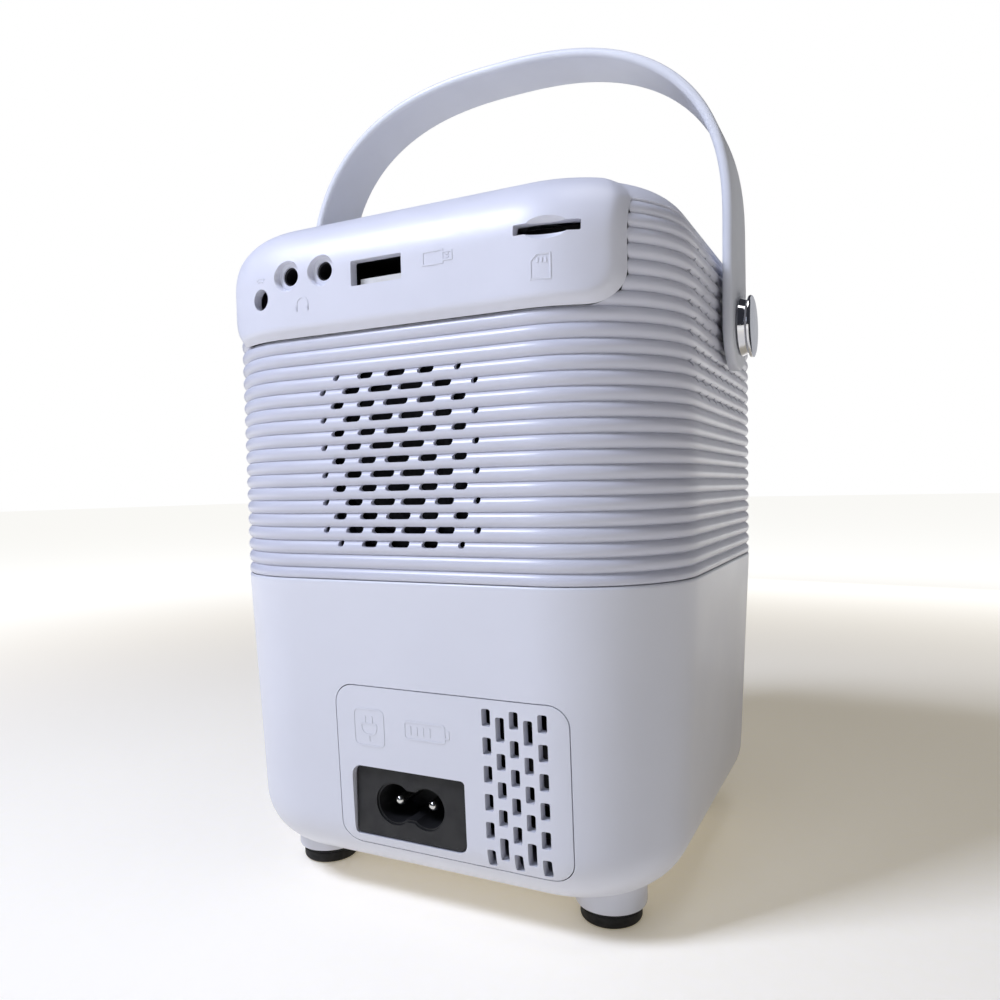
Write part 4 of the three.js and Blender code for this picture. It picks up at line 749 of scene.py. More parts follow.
def pierce(piece, outlines, half, firstRow, lastRow, depth, reach, axis, side):
    # Behind a grille the wall is thinned from inside by a pocket between two grooves, so that the holes
    # are no deeper than they are wide. Then the holes are cut.
    skin = case["ribDepth"] + sleeve["grilleSkin"]
    pocket = roundedBox(-half, half, grooveHeight(lastRow), grooveHeight(firstRow), sleeve["pocketRound"])
    span = sorted((side * (reach - depth), side * (reach - skin)))
    cutPiece(piece, prism(pocket, *span, axis))
    span = sorted((side * (reach - depth), side * (reach + case["clear"])))
    cutPiece(piece, joined(*[prism(outline, *span, axis) for outline in outlines]))


def makeSleeve():
    # The skin, open for the apron and the lens, with a grille in its back and one in each side
    # The sleeve's greyer white is painted shade for the shade between its ribs
    piece = makePiece("ribbed_sleeve", *sleeveSkin(), absRibbedPaintedShade)
    s, back, clear = sleeve, case["halfY"], case["clear"]
    cutPiece(piece, prism(apronOutline(s["apronGap"]), back - s["apronDepth"], back + clear))
    window = circle(0, s["lensHeight"], s["lensWindow"], 72)
    cutPiece(piece, prism(window, -back - clear, s["lensDepth"] - back))
    first, rows = s["backFirstGroove"], s["backRows"]
    pierce(piece, backGrilleOutlines(), s["backPocket"], first - 1, first + rows, s["backHoleDepth"],
           back, "y", 1)
    first, rows = s["sideFirstGroove"], s["sideRows"]
    for side in (1, -1):
        pierce(piece, sideGrilleOutlines(), s["sidePocket"], first + 1, first + rows, s["sideHoleDepth"],
               case["halfX"], "x", side)
    return fit(piece, "case", "white_shell", "upper_housing")


makeSleeve()
print("ribbed sleeve made")


# The lid: a crowned cap whose apron wraps down the back and carries the sockets

lid = {
    "keypadY": -4.0, "keyGap": 0.3, "keySide": 27.0, "keySideRadius": 4.6, "okRadius": 6.0,
    "ringInner": 7.8, "ringOuter": 15.0, "ringGap": 0.16, "keyCut": (6.0, 4.0),
    "edgeRows": 17, "flatScales": (0.97, 0.9, 0.75, 0.55, 0.35, 0.15),
}
sockets = {
    "irX": 34.5, "irZ": 138.5, "irRadius": 2.4,
    "jackXs": (26.6, 17.2), "jackZ": 142.9, "jackRecess": 3.35, "jackEase": 0.25, "jackHole": 2.05,
    "jackDepth": 1.5,
    "usbX": 2.8, "usbZ": 140.9, "usbWidth": 12.7, "usbHeight": 5.3,
    "cardX": -35.4, "cardZ": 143.9, "cardWidth": 12.9, "cardHeight": 2.1,
    "dishWidth": 9.4, "dishHeight": 4.6, "dishDepth": 1.5,
    "cutIn": 12.0, "cutOut": 8.0,  # from the case's back, how far in and out the openings are cut
}


def apronShare(x, z):
    # How far the apron stands proud, from 0 on its outline to 1 past its rounded rim: a quarter sine of
    # the distance in from the outline
    half, low, radius = apron["halfWidth"], apron["bottom"], apron["corner"]
    alongX, alongZ = np.abs(x) - (half - radius), low + radius - z
    inCorner = (alongX > 0) & (alongZ > 0)
    straight = np.minimum(half - np.abs(x), z - low)
    depth = np.where(inCorner, radius - np.hypot(alongX, alongZ), straight)
    return np.sin(np.pi / 2 * np.clip(depth / apron["rim"], 0, 1))


def apronY(x, z):
    # The apron's outer face: the back wall's, moved out by the apron's share of its full height
    return wallY(x, crownInset(z) - apron["proud"] * apronShare(x, z))


def lidColumns():
    # The apron's columns by their X across the back, close together near its rim, then the rest of the
    # plan's columns, past the angles of its side edges
    rim = apron["halfWidth"] - np.array([*apron["rimSteps"], *apron["nextSteps"]])
    middle = np.linspace(rim[-1], 0, apron["middleColumns"])[1:-1]
    positive = np.concatenate([rim, middle])
    across = np.concatenate([positive, [0.0], -positive[::-1]])
    radius = case["corner"] - crownInset(lidEdge)
    past = np.clip(np.abs(across) - flatX, 0, None) / radius * np.sign(across)
    normals = np.column_stack([past, np.sqrt(1 - past ** 2)])
    centres = np.column_stack([np.clip(across, -flatX, flatX), np.full(len(across), flatY)])
    edge = np.degrees(np.arctan2(normals[-1, 1], normals[-1, 0])) + apron["edgeClear"]
    angle = np.degrees(np.arctan2(planNormals[:, 1], planNormals[:, 0])) % 360
    keep = (angle > edge) | (angle < 180 - edge)
    order = np.roll(np.arange(len(angle)), -np.argmax(angle > edge))
    order = order[keep[order]]
    centres = np.concatenate([centres, planCentres[order]])
    normals = np.concatenate([normals, planNormals[order]])
    return across, centres, normals


def keyOutlines(grow):
    # Round keys, and four arrow keys that are sectors of a ring with gaps between them
    y = lid["keypadY"]
    outlines = {"ok_key": circle(0, y, lid["okRadius"] + grow, 48),
                "power_key": circle(lid["keySide"], y, lid["keySideRadius"] + grow, 40),
                "menu_key": circle(-lid["keySide"], y, lid["keySideRadius"] + grow, 40)}
    inner, outer = lid["ringInner"] - grow, lid["ringOuter"] + grow
    for i, name in enumerate(("right_key", "up_key", "left_key", "down_key")):
        middle = 90 * i
        trim = np.degrees(lid["ringGap"] / 2 - grow / lid["ringOuter"])
        trimIn = np.degrees(lid["ringGap"] / 2 - grow / lid["ringInner"])
        far = arcPoints(0, y, outer, middle - 45 + trim, middle + 45 - trim, 14)
        near = arcPoints(0, y, inner, middle + 45 - trimIn, middle - 45 + trimIn, 14)
        outlines[name] = np.concatenate([far, near])
    return outlines


def apronRows(across):
    # Rows from the apron's foot to the lid's edge, each as wide as the round lower corners leave it
    low, radius, half = apron["bottom"], apron["corner"], apron["halfWidth"]
    rimRows = low + np.array(apron["rimSteps"])
    cornerRows = low + radius * (1 - np.cos(np.radians(np.linspace(36, 90, apron["cornerSteps"]))))
    rows = np.concatenate([rimRows, cornerRows[cornerRows > rimRows[-1] + 0.2],
                           np.linspace(low + radius, lidEdge, apron["upperRows"])[1:-1]])
    z = rows[:, None]
    drop = np.clip(low + radius - z, 0, radius)
    reach = half - radius + np.sqrt(radius ** 2 - drop ** 2)
    x = across[None] * reach / half
    return np.stack([x, apronY(x, z), z * np.ones_like(x)], -1)


def crownRings(across, centres, normals):
    # Rings up the quarter ellipse of the lid's edge. On the apron's columns the bend is wider by the
    # apron's share, while the point keeps its X.
    start = np.arcsin((lidEdge - case["top"] + case["crownRise"]) / case["crownRise"])
    share = np.linspace(0, 1, lid["edgeRows"])
    z = case["top"] - case["crownRise"] * (1 - np.sin(start + (np.pi / 2 - start) * share))
    bend = case["corner"] - crownInset(z)[:, None]
    nominal = np.concatenate([across, np.full(len(centres) - len(across), apron["halfWidth"])])
    proud = apron["proud"] * apronShare(nominal, np.full(len(nominal), case["top"]))
    sideways = normals[:, 0] * bend
    wide = np.sqrt(np.clip((bend + proud) ** 2 - sideways ** 2, 0, None))
    x = centres[:, 0] + sideways
    y = centres[:, 1] + np.where(proud > 0, wide, normals[:, 1] * bend)
    return np.stack([x, y, z[:, None] * np.ones(len(centres))], -1)


def jackOpening(x):
    # A round recess from the apron's own face, with an eased rim, and a narrower hole behind it
    hole, wide, ease = sockets["jackHole"], sockets["jackRecess"], sockets["jackEase"]
    face = apronY(x, sockets["jackZ"])
    floor = face - sockets["jackDepth"]
    deep, out = case["halfY"] - sockets["cutIn"], case["halfY"] + sockets["cutOut"]
    profile = [[0, deep], [hole, deep], [hole, floor], [wide - ease, floor], [wide, face - 0.2],
               [wide + ease, face + 0.05], [wide + ease, out], [0, out]]
    return turned(profile, "y", (x, 0, sockets["jackZ"]), 40)


def fingerDish():
    # Over and under the card slot: an ellipsoid half sunk in the face and turned with it
    x, z = sockets["cardX"], sockets["cardZ"]
    arc = np.linspace(0, np.pi, 15)
    dish, faces = turned(np.column_stack([np.sin(arc), -np.cos(arc)]).round(9), "y", (0, 0, 0), 48)
    tilt = -np.arctan2(abs(x) - flatX, case["corner"])
    spin = np.array([[np.cos(tilt), -np.sin(tilt), 0], [np.sin(tilt), np.cos(tilt), 0], [0, 0, 1]])
    dish = dish * [sockets["dishWidth"] / 2, sockets["dishDepth"], sockets["dishHeight"] / 2] @ spin
    return dish + [x, apronY(x, z), z], faces


def cutLid(piece):
    # Openings for the keys and the sockets
    s = sockets
    deep, out = case["halfY"] - s["cutIn"], case["halfY"] + s["cutOut"]
    low, high = case["top"] - lid["keyCut"][0], case["top"] + lid["keyCut"][1]
    keys = keyOutlines(lid["keyGap"]).values()
    cutPiece(piece, joined(*[prism(outline, low, high, "z") for outline in keys]))
    usb = centredBox(s["usbX"], s["usbZ"], s["usbWidth"], s["usbHeight"], 0.35, 3)
    card = centredBox(s["cardX"], s["cardZ"], s["cardWidth"], s["cardHeight"], 0.3, 3)
    eye = circle(s["irX"], s["irZ"], s["irRadius"])
    holes = [prism(outline, deep, out) for outline in (usb, card, eye)]
    cutPiece(piece, joined(*holes, *[jackOpening(x) for x in s["jackXs"]]))
    cutPiece(piece, fingerDish())


def makeLid():
    # The apron's rows are a patch of their own under the first ring; the last ring closes over the top
    across, centres, normals = lidColumns()
    patch, rings = apronRows(across), crownRings(across, centres, normals)
    rings = np.concatenate([rings, shrunkRings(rings[-1], lid["flatScales"])])
    wide, count, first = len(across), len(centres), patch.shape[0] * patch.shape[1]
    points = np.concatenate([patch.reshape(-1, 3), rings.reshape(-1, 3), [[0, 0, case["top"]]]])
    faces = gridFaces(len(patch), wide)
    faces += [[first - wide + i, first - wide + i + 1, first + i + 1, first + i] for i in range(wide - 1)]
    faces += [[v + first for v in face] for face in gridFaces(len(rings), count, False, True)]
    faces += poleFaces(count, len(points) - 1)
    piece = makePiece("lid_with_apron", points, faces, absMoulded)
    giveWall(piece)
    cutLid(piece)
    return fit(piece, "case", "white_shell", "top_cover")


makeLid()
print("lid made")


# The smooth lower case, with its plinths and the service panel cut from the same skin

lowerCase = {
    # Below the top edge, each step down and how much of the ease is left there
    "topEase": 0.4, "easeSteps": (0, 0.12, 0.35, 0.7), "easeShares": (1.0, 0.45, 0.12, 0), "wallRows": 14,
    "plinthRadius": 8.0, "plinthFlare": 3.2, "plinthUpright": 3.2, "plinthRise": 6.08,
    "plinthRim": ((0.6, 0), (0.15, 0.2), (0, 0.65)),  # in from the radius, and up from the lower end
    "footX": 38.5, "footY": 35.5,
    "panelLeft": -37.3, "panelRight": 18.6, "panelBottom": 15.0, "panelTop": 51.6, "panelCorner": 4.5,
    "panelGap": 0.22, "inletGap": 0.15, "cutIn": 16.0,
    "flatScales": (0.96, 0.85, 0.65, 0.4, 0.15),
    "ventWidth": 2.0, "ventX": -19.4, "ventPitch": 3.14, "ventRound": 0.4,
    # The vents' tops and heights: in the first, third and fifth columns, then in the two between
    "ventRows": ([(49.6 - 6.02 * i, 3.7) for i in range(6)],
                 [(48.1, 5.2), (40.5, 3.6), (34.5, 3.6), (28.6, 3.6), (22.5, 4.9)]),
}
screws = {
    "x": 31.0, "y": 12.0, "recess": 3.4, "recessDepth": 1.6,
    "radius": 2.7, "headHeight": 1.3, "dome": 0.7, "crossLength": 3.0, "crossWidth": 0.6, "crossDepth": 0.7,
}


def fourPlaces(x, y):
    # The same place in each quarter of the base
    return [(sx * x, sy * y, 0) for sx in (1, -1) for sy in (1, -1)]


def inletOutline(grow):
    # Two corners wide and two small, as the connector's body has them
    low, high = nodeCorners("ac_inlet")
    return roundedBox(low[0] - grow, high[0] + grow, low[2] - grow, high[2] + grow, (0.9, 2.4, 0.9, 2.4), 5)


def ventOutlines():
    # Five columns of upright slots; the second and the fourth are out of step with the rest
    outlines = []
    half = lowerCase["ventWidth"] / 2
    for column in range(5):
        x = lowerCase["ventX"] - column * lowerCase["ventPitch"]
        for top, height in lowerCase["ventRows"][column % 2]:
            outlines.append(roundedBox(x - half, x + half, top - height, top, lowerCase["ventRound"], 3))
    return outlines


def tubSkin():
    # A profile of z and inset carried round the plan and closed over the base
    top, steps = tubHigh[2], lowerCase["easeSteps"]
    arc = np.linspace(0, np.pi / 2, 15)
    wall = np.linspace(top - 1.2, case["baseHeight"] + case["baseFillet"], lowerCase["wallRows"])
    fillet = case["baseHeight"] + case["baseFillet"] * (1 - np.sin(arc[1:]))
    heights = np.concatenate([[top - step for step in steps], wall, fillet])
    insets = tubInset(heights)
    insets[:len(steps)] += lowerCase["topEase"] * np.array(lowerCase["easeShares"])
    rings = planRings(insets)
    count = rings.shape[1]
    rings = np.concatenate([rings, np.repeat(heights[:, None, None], count, 1)], -1)
    rings = np.concatenate([rings, shrunkRings(rings[-1], lowerCase["flatScales"])])
    points = np.concatenate([rings.reshape(-1, 3), [[0, 0, case["baseHeight"]]]])
    return points, gridFaces(len(rings), count, False, True) + poleFaces(count, len(points) - 1)


def plinthShapes():
    # A short leg over each foot, upright below and flared by a quarter ellipse where it meets the base
    r, flare, low = lowerCase["plinthRadius"], lowerCase["plinthFlare"], tubLow[2]
    upright, rise = low + lowerCase["plinthUpright"], lowerCase["plinthRise"]
    rim = [[r - inset, low + up] for inset, up in lowerCase["plinthRim"]]
    skirt = [[r + flare * (1 - np.cos(a)), upright + rise * np.sin(a)] for a in np.linspace(0, np.pi / 2, 8)]
    profile = [[0, low], *rim, *skirt, [0, skirt[-1][1]]]
    places = fourPlaces(lowerCase["footX"], lowerCase["footY"])
    return joined(*[turned(profile, "z", place, 56) for place in places])


def screwRecesses():
    # A round hole up into the base at each screw
    wide, low, high = screws["recess"], case["baseHeight"] - 2, case["baseHeight"] + screws["recessDepth"]
    profile = [[0, low], [wide, low], [wide, high], [0, high]]
    return joined(*[turned(profile, "z", place, 32) for place in fourPlaces(screws["x"], screws["y"])])


def throughWall(outline, past=0):
    # An outline carried through the back wall, and past it at both ends
    return prism(outline, case["halfY"] - lowerCase["cutIn"] - past, case["halfY"] + case["clear"] + past)


def panelShape(grow):
    # The panel's outline through the wall, moved out by the amount that it grows
    c = lowerCase
    return throughWall(roundedBox(c["panelLeft"] - grow, c["panelRight"] + grow, c["panelBottom"] - grow,
                                  c["panelTop"] + grow, c["panelCorner"] + grow, 10))


def makeLowerCase():
    # The panel is cut from a copy of the case's own skin, so that the two are flush
    tub = makePiece("lower_case", *tubSkin(), absSmooth)
    giveWall(tub)
    cutPiece(tub, plinthShapes(), "UNION")
    panel = tub.copy()
    panel.data = tub.data.copy()
    panel.name = "service_cover"
    bpy.context.scene.collection.objects.link(panel)
    cutPiece(panel, panelShape(0), "INTERSECT")
    cutPiece(panel, joined(*[throughWall(outline, 2) for outline in ventOutlines()]))
    cutPiece(panel, throughWall(inletOutline(lowerCase["inletGap"]), 2))
    cutPiece(tub, panelShape(lowerCase["panelGap"]))
    cutPiece(tub, screwRecesses())
    fit(panel, "case", "white_shell", "service_panel")
    return fit(tub, "case", "white_shell", "lower_housing")


def makeScrews():
    # Pan heads whose domes are a quarter ellipse, with a cross cut in them, sunk in the base's recesses
    s = screws
    high = case["baseHeight"] + s["recessDepth"]
    low = high - s["headHeight"]
    arc = np.linspace(0, np.pi / 2, 7)[1:]
    dome = [[s["radius"] * np.sin(a), low + s["dome"] * (1 - np.cos(a))] for a in arc]
    head = [[0, low], *dome, [s["radius"], high], [0, high]]
    places = fourPlaces(s["x"], s["y"])
    piece = makePiece("base_screws", *joined(*[turned(head, "z", place, 32) for place in places]),
                      slotFinish["steel"])
    deep, long, thin = s["crossDepth"], s["crossLength"], s["crossWidth"]
    for wide, tall in ((long, thin), (thin, long)):
        slots = [centredBox(x, y, wide, tall, 0.1, 2) for x, y, _ in places]
        cutPiece(piece, joined(*[prism(slot, low - deep, low + deep, "z") for slot in slots]))
    return fit(piece, "case", "steel")


makeLowerCase()
makeScrews()
print("lower case and service panel made")


# The mains inlet with its two pins

inlet = {"lobe": 4.35, "spread": 4.1, "waist": 3.2, "depth": 11.0, "mouth": 0.45, "rim": 0.3}
inletLow, inletHigh = nodeCorners("ac_inlet")
inletX = (inletLow[0] + inletHigh[0]) / 2
inletZ = (inletLow[2] + inletHigh[2]) / 2


def figureEight(grow):
    # Two arcs that stop where the straight waist meets them
    r = inlet["lobe"] + grow
    stop = 180 - np.degrees(np.arcsin((inlet["waist"] + grow) / r))
    right = arcPoints(inletX + inlet["spread"], inletZ, r, -stop, stop, 28)
    left = arcPoints(inletX - inlet["spread"], inletZ, r, 180 - stop, 180 + stop, 28)
    return np.concatenate([right, left])


def makeInlet():
    # The body is pierced by the figure eight, and each pin ends in a half ball
    face = inletHigh[1]
    body = prism(inletOutline(0), inletLow[1], face, "y", inlet["rim"])
    piece = makePiece("mains_inlet", *body, nylonBlack)
    cutPiece(piece, prism(figureEight(0), face - inlet["depth"], face + case["clear"]))
    # A wider, shallow step round the mouth
    cutPiece(piece, prism(figureEight(inlet["mouth"]), face - inlet["mouth"], face + case["clear"]))
    fit(piece, "case", "black_plastic", "ac_inlet")
    for name in ("inlet_pin_left", "inlet_pin_right"):
        low, high = nodeCorners(name)
        radius = (high[0] - low[0]) / 2
        centre = ((low[0] + high[0]) / 2, 0, (low[2] + high[2]) / 2)
        profile = [[0, low[1]], [radius, low[1]], [radius, high[1] - radius], *ballTip(radius, high[1]),
                   [0, high[1]]]
        pin = makePiece(name + "_turned", *turned(profile, "y", centre, 28), slotFinish["plated_metal"])
        fit(pin, "case", "plated_metal", name)


makeInlet()
print("mains inlet made")


# Feet

foot = {
    "edge": 0.9,
    # A moulding line and the upper rim: in from the radius, and down from the top
    "upper": ((0, 0.7), (0.14, 0.6), (0.14, 0.45), (0, 0.35), (0.1, 0.05), (0.3, 0)),
}


def makeFeet():
    # Pads whose lower edge is a quarter circle, with a moulding line near the top
    edge = foot["edge"]
    for name in [n for n in nodes if n.startswith("foot_pad")]:
        low, high = nodeCorners(name)
        r, top = (high[0] - low[0]) / 2, high[2]
        middle = (low + high) / 2
        arc = np.linspace(0, np.pi / 2, 7)
        lower = [[r - edge + edge * np.sin(a), edge * (1 - np.cos(a))] for a in arc]
        upper = [[r - inset, top - drop] for inset, drop in foot["upper"]]
        profile = [[0, 0], *lower, *upper, [0, top]]
        pad = makePiece(name + "_moulded", *turned(profile, "z", (middle[0], middle[1], 0), 64),
                        slotFinish["rubber_foot"])
        fit(pad, "case", "rubber_foot", name)


makeFeet()


# The strap handle and its chrome caps

strap = {
    "pivotHeight": 132.3, "footWidth": 20.4, "topWidth": 15.0, "edge": 1.0,
    "thickness": 2.4, "straight": 23.0, "power": 2.5, "steps": 90, "lobeSteps": 14,
}
strapLow, strapHigh = nodeCorners("carry_handle")


def strapPath():
    # A straight leg, then half of a superellipse, then a leg. The strap's width narrows evenly with
    # height and runs to nothing round each lobe.
    half = strap["thickness"] / 2
    span = strapHigh[0] - half
    arch = strapHigh[2] - half - strap["pivotHeight"]
    lobe = strap["footWidth"] / 2
    angle = np.linspace(0.02, np.pi / 2, strap["lobeSteps"])[:-1]
    lobeHeights, lobeWidths = -lobe * np.cos(angle), 2 * lobe * np.sin(angle)
    leg = np.linspace(0, strap["straight"], 8)[:-1]
    sweep = np.linspace(0, np.pi, strap["steps"] + 1)
    cosine, sine = np.cos(sweep), np.abs(np.sin(sweep))
    exponent = 2 / strap["power"]
    archX = span * np.sign(cosine) * np.abs(cosine) ** exponent
    archZ = strap["straight"] + (arch - strap["straight"]) * sine ** exponent
    legX = np.full(len(lobeHeights) + len(leg), span)
    legZ = np.concatenate([lobeHeights, leg])
    x = np.concatenate([legX, archX, -legX])
    z = np.concatenate([legZ, archZ, legZ[::-1]])
    plain = strap["footWidth"] + (strap["topWidth"] - strap["footWidth"]) * np.clip(z / arch, 0, 1)
    lobes = np.concatenate([lobeWidths, np.full(len(x) - 2 * len(lobeWidths), np.inf), lobeWidths[::-1]])
    return x, z, np.minimum(plain, lobes)


def makeHandle():
    # The section stands square to the path: a rectangle with round edges
    x, z, width = strapPath()
    half = strap["thickness"] / 2
    alongX, alongZ = np.gradient(x), np.gradient(z)
    length = np.hypot(alongX, alongZ)
    outX, outZ = alongZ / length, -alongX / length
    edge = np.minimum(strap["edge"], width / 2 - 0.02)
    lift = np.minimum(edge, half)
    sideways, depth = [], []
    for i, (sy, sd) in enumerate(((1, 1), (-1, 1), (-1, -1), (1, -1))):
        bend = np.radians(90 * i + np.linspace(0, 90, 6))
        sideways.append(sy * (width / 2 - edge)[:, None] + edge[:, None] * np.cos(bend))
        depth.append(sd * (half - lift)[:, None] + lift[:, None] * np.sin(bend))
    sideways, depth = np.concatenate(sideways, 1), np.concatenate(depth, 1)
    points = np.stack([x[:, None] + outX[:, None] * depth, sideways,
                       strap["pivotHeight"] + z[:, None] + outZ[:, None] * depth], -1)
    rows, columns = sideways.shape
    faces = gridFaces(rows, columns, False, True)
    faces += [list(range(columns)), list(range((rows - 1) * columns, rows * columns))[::-1]]
    piece = makePiece("strap_handle", points.reshape(-1, 3), faces, strapMoulded, 50)
    return fit(piece, "handle", "white_strap", "carry_handle")


capShape = [  # radius and distance out as shares of the cap's radius and depth, from the strap outwards
    (0.0, 0.0), (0.9, 0.0), (0.93, 0.06), (0.85, 0.52), (0.88, 0.6), (0.98, 0.66), (1.0, 0.72), (1.0, 0.8),
    (0.985, 0.86), (0.93, 0.905), (0.8, 0.945), (0.6, 0.975), (0.35, 0.994), (0.0, 1.0)]


def makeCaps():
    # A short drum that narrows towards a wider lip with a low dome
    for name in ("handle_cap_left", "handle_cap_right"):
        low, high = nodeCorners(name)
        side = np.sign(low[0])
        near, far = sorted((abs(low[0]), abs(high[0])))
        radius = (high[2] - low[2]) / 2
        profile = [[share * radius, side * (near + out * (far - near))] for share, out in capShape]
        cap = makePiece(name + "_plated", *turned(profile, "x", (0, 0, strap["pivotHeight"]), 72),
                        slotFinish["chrome_cap"], 30)
        fit(cap, "handle", "chrome_cap", name)


makeHandle()
makeCaps()
print("feet, handle and caps made")


# The keypad: caps with a rounded rim and a raised sign on each

keyStyle = {"rim": 0.45, "signWidth": 0.45, "signProud": 0.12, "signSunk": 0.2}


def strokes(lines, width, low, high, closed=False, axis="y"):
    # Each line becomes a bar along its points, with a rectangle as its section: the width across the line,
    # and from low to high along the axis. At a bend the two sides meet on the line that halves the angle.
    shapes = []
    for line in lines:
        line = np.asarray(line, float)
        ahead = np.roll(line, -1, 0) - line
        behind = line - np.roll(line, 1, 0)
        if not closed:
            ahead[-1], behind[0] = behind[-1], ahead[0]
        ahead = ahead / np.linalg.norm(ahead, axis=1)[:, None]
        behind = behind / np.linalg.norm(behind, axis=1)[:, None]
        mean = ahead + behind
        normal = np.column_stack([mean[:, 1], -mean[:, 0]])
        normal /= (normal * np.column_stack([ahead[:, 1], -ahead[:, 0]])).sum(1)[:, None]
        right, left = line + normal * width / 2, line - normal * width / 2
        lows = low(line[:, 0], line[:, 1]) if callable(low) else np.full(len(line), low)
        highs = high(line[:, 0], line[:, 1]) if callable(high) else np.full(len(line), high)
        edges = ((right, lows), (left, lows), (left, highs), (right, highs))
        points = np.stack([onAxis(axis, side[:, 0], level, side[:, 1]) for side, level in edges], 1)
        faces = gridFaces(len(line), 4, closed, True)
        if not closed:
            last = 4 * (len(line) - 1)
            faces += [[3, 2, 1, 0], [last, last + 1, last + 2, last + 3]]
        shapes.append((points.reshape(-1, 3), faces))
    return shapes


def keySigns():
    # Each key's lines: a ring, a broken ring with an upright, three bars, and an arrow turned to each side
    y, side = lid["keypadY"], lid["keySide"]
    signs = {
        "ok_key": [circle(0, y, 1.3, 20)],
        "power_key": [arcPoints(side, y, 1.9, 125, 415, 18), [[side, y + 0.4], [side, y + 2.4]]],
        "menu_key": [[[-side - 1.8, y + d], [-side + 1.8, y + d]] for d in (-1.2, 0, 1.2)],
    }
    reach = (lid["ringInner"] + lid["ringOuter"]) / 2
    arrow = np.array([[-1.0, -1.3], [1.0, 0.0], [-1.0, 1.3]])
    for i, name in enumerate(("right_key", "up_key", "left_key", "down_key")):
        angle = np.radians(90 * i)
        spin = np.array([[np.cos(angle), -np.sin(angle)], [np.sin(angle), np.cos(angle)]])
        signs[name] = [arrow @ spin.T + [reach * np.cos(angle), y + reach * np.sin(angle)]]
    return signs


def makeKeys():
    # The caps are as high as their nodes, and the signs stand a little proud of them
    for name, outline in keyOutlines(0).items():
        low, high = nodeCorners(name)
        shape = prism(outline, low[2], high[2], "z", keyStyle["rim"], 4)
        fit(makePiece(name + "_cap", *shape, keyPainted, 45), name, "key_plastic", name)
    for name, lines in keySigns().items():
        top = nodeCorners(name)[1][2]
        bars = strokes(lines, keyStyle["signWidth"], top - keyStyle["signSunk"],
                       top + keyStyle["signProud"], name == "ok_key", "z")
        fit(makePiece(name + "_sign", *joined(*bars), absMoulded, 0), name, "key_plastic")


makeKeys()
print("keypad made")


# Raised pictograms on the apron and the panel: plain signs of what each socket is for

marks = {
    "width": 0.34, "proud": 0.1, "sunk": 0.5,
    "headphoneAt": (22.4, 136.1), "stickAt": (-12.2, 141.4),
    "cardAt": (-34.4, 136.6), "wavesAt": (34.4, 142.6),
    "frameAt": (10.0, 42.35), "plugAt": (10.0, 42.2), "batteryAt": (-4.8, 42.9),
}


def panelY(x, z):
    # The lower case's back wall
    return wallY(x, tubInset(z))


def makeSigns(name, material, faceY, drawings):
    # Each drawing has its place, its lines as seen from behind, so that right is towards -X, and whether
    # they close. The strokes stand in the face and a little proud of it.
    shapes = []
    for place, lines, closed in drawings:
        drawn = [np.asarray(line, float) * [-1, 1] + marks[place] for line in lines]
        shapes += strokes(drawn, marks["width"], lambda x, z: faceY(x, z) - marks["sunk"],
                          lambda x, z: faceY(x, z) + marks["proud"], closed)
    fit(makePiece(name, *joined(*shapes), material, 0), "case", "white_shell")


def makeMarks():
    # Above the panel's inlet a plug and a battery, beside the apron's sockets what each one takes
    half = 1.55
    headphone = np.concatenate([[[half, -1.3]], arcPoints(0, 0, half, 0, 180, 12), [[-half, -1.3]]])
    makeSigns("apron_signs", absMoulded, apronY, (
        ("headphoneAt", [headphone], False),
        ("headphoneAt", [[[sx * half, -1.5], [sx * half, -0.5]] for sx in (1, -1)], False),
        ("stickAt", [[[-3.4, -1.3], [1.2, -1.3], [1.2, 1.3], [-3.4, 1.3]]], True),
        ("stickAt", [[[1.2, -0.8], [3.3, -0.8], [3.3, 0.8], [1.2, 0.8]]], False),
        ("stickAt", [[[1.9, -0.35], [2.6, -0.35]], [[1.9, 0.35], [2.6, 0.35]]], False),
        ("cardAt", [[[-1.9, -2.3], [1.9, -2.3], [1.9, 2.3], [-0.7, 2.3], [-1.9, 1.1]]], True),
        ("cardAt", [[[d, 0.7], [d, 1.6]] for d in (-0.5, 0.3, 1.1)], False),
        ("wavesAt", [arcPoints(0, -1.2, r, 50, 130, 6) for r in (1.2, 1.9)], False)))
    makeSigns("panel_signs", absSmooth, panelY, (
        ("frameAt", [roundedBox(-3.9, 3.9, -4.15, 4.15, 1.2, 5)], True),
        ("plugAt", [roundedBox(-2.0, 2.0, -1.5, 1.0, (1.6, 0.3, 0.3, 1.6), 5)], True),
        ("plugAt", [[[-0.9, 1.0], [-0.9, 2.7]], [[0.9, 1.0], [0.9, 2.7]], [[0, -1.5], [0, -3.0]]], False),
        ("batteryAt", [roundedBox(-5.4, 4.6, -1.9, 1.9, 0.6, 3)], True),
        ("batteryAt", [[[4.6, -0.8], [5.6, -0.8], [5.6, 0.8], [4.6, 0.8]]], False),
        ("batteryAt", [[[d, -1.0], [d, 1.0]] for d in (-3.9, -2.3, -0.7, 0.9)], False)))


makeMarks()


# The sockets behind the apron

socketParts = {
    "usbIn": 2.3, "usbMargin": 0.5, "usbSheet": 0.35, "usbBack": 1.2,
    "tongueWidth": 11.2, "tongueLow": -2.3, "tongueHigh": -0.7, "tongueIn": 0.15, "tongueFoot": 1.0,
    "padXs": (-3.5, -1.1, 1.1, 3.5), "padWidth": 1.0, "padHeight": 0.07, "padLength": 7.0, "padIn": 1.0,
    "jackGap": 0.35, "jackBore": 1.75, "boreDepth": 11.0,
    "jackCollar": 3.0, "collarLength": 1.6, "collarDepth": 9.0,
    "cardSlot": 1.9, "cardEase": 0.4, "eyeRadius": 2.0, "eyeStand": 1.6,
}


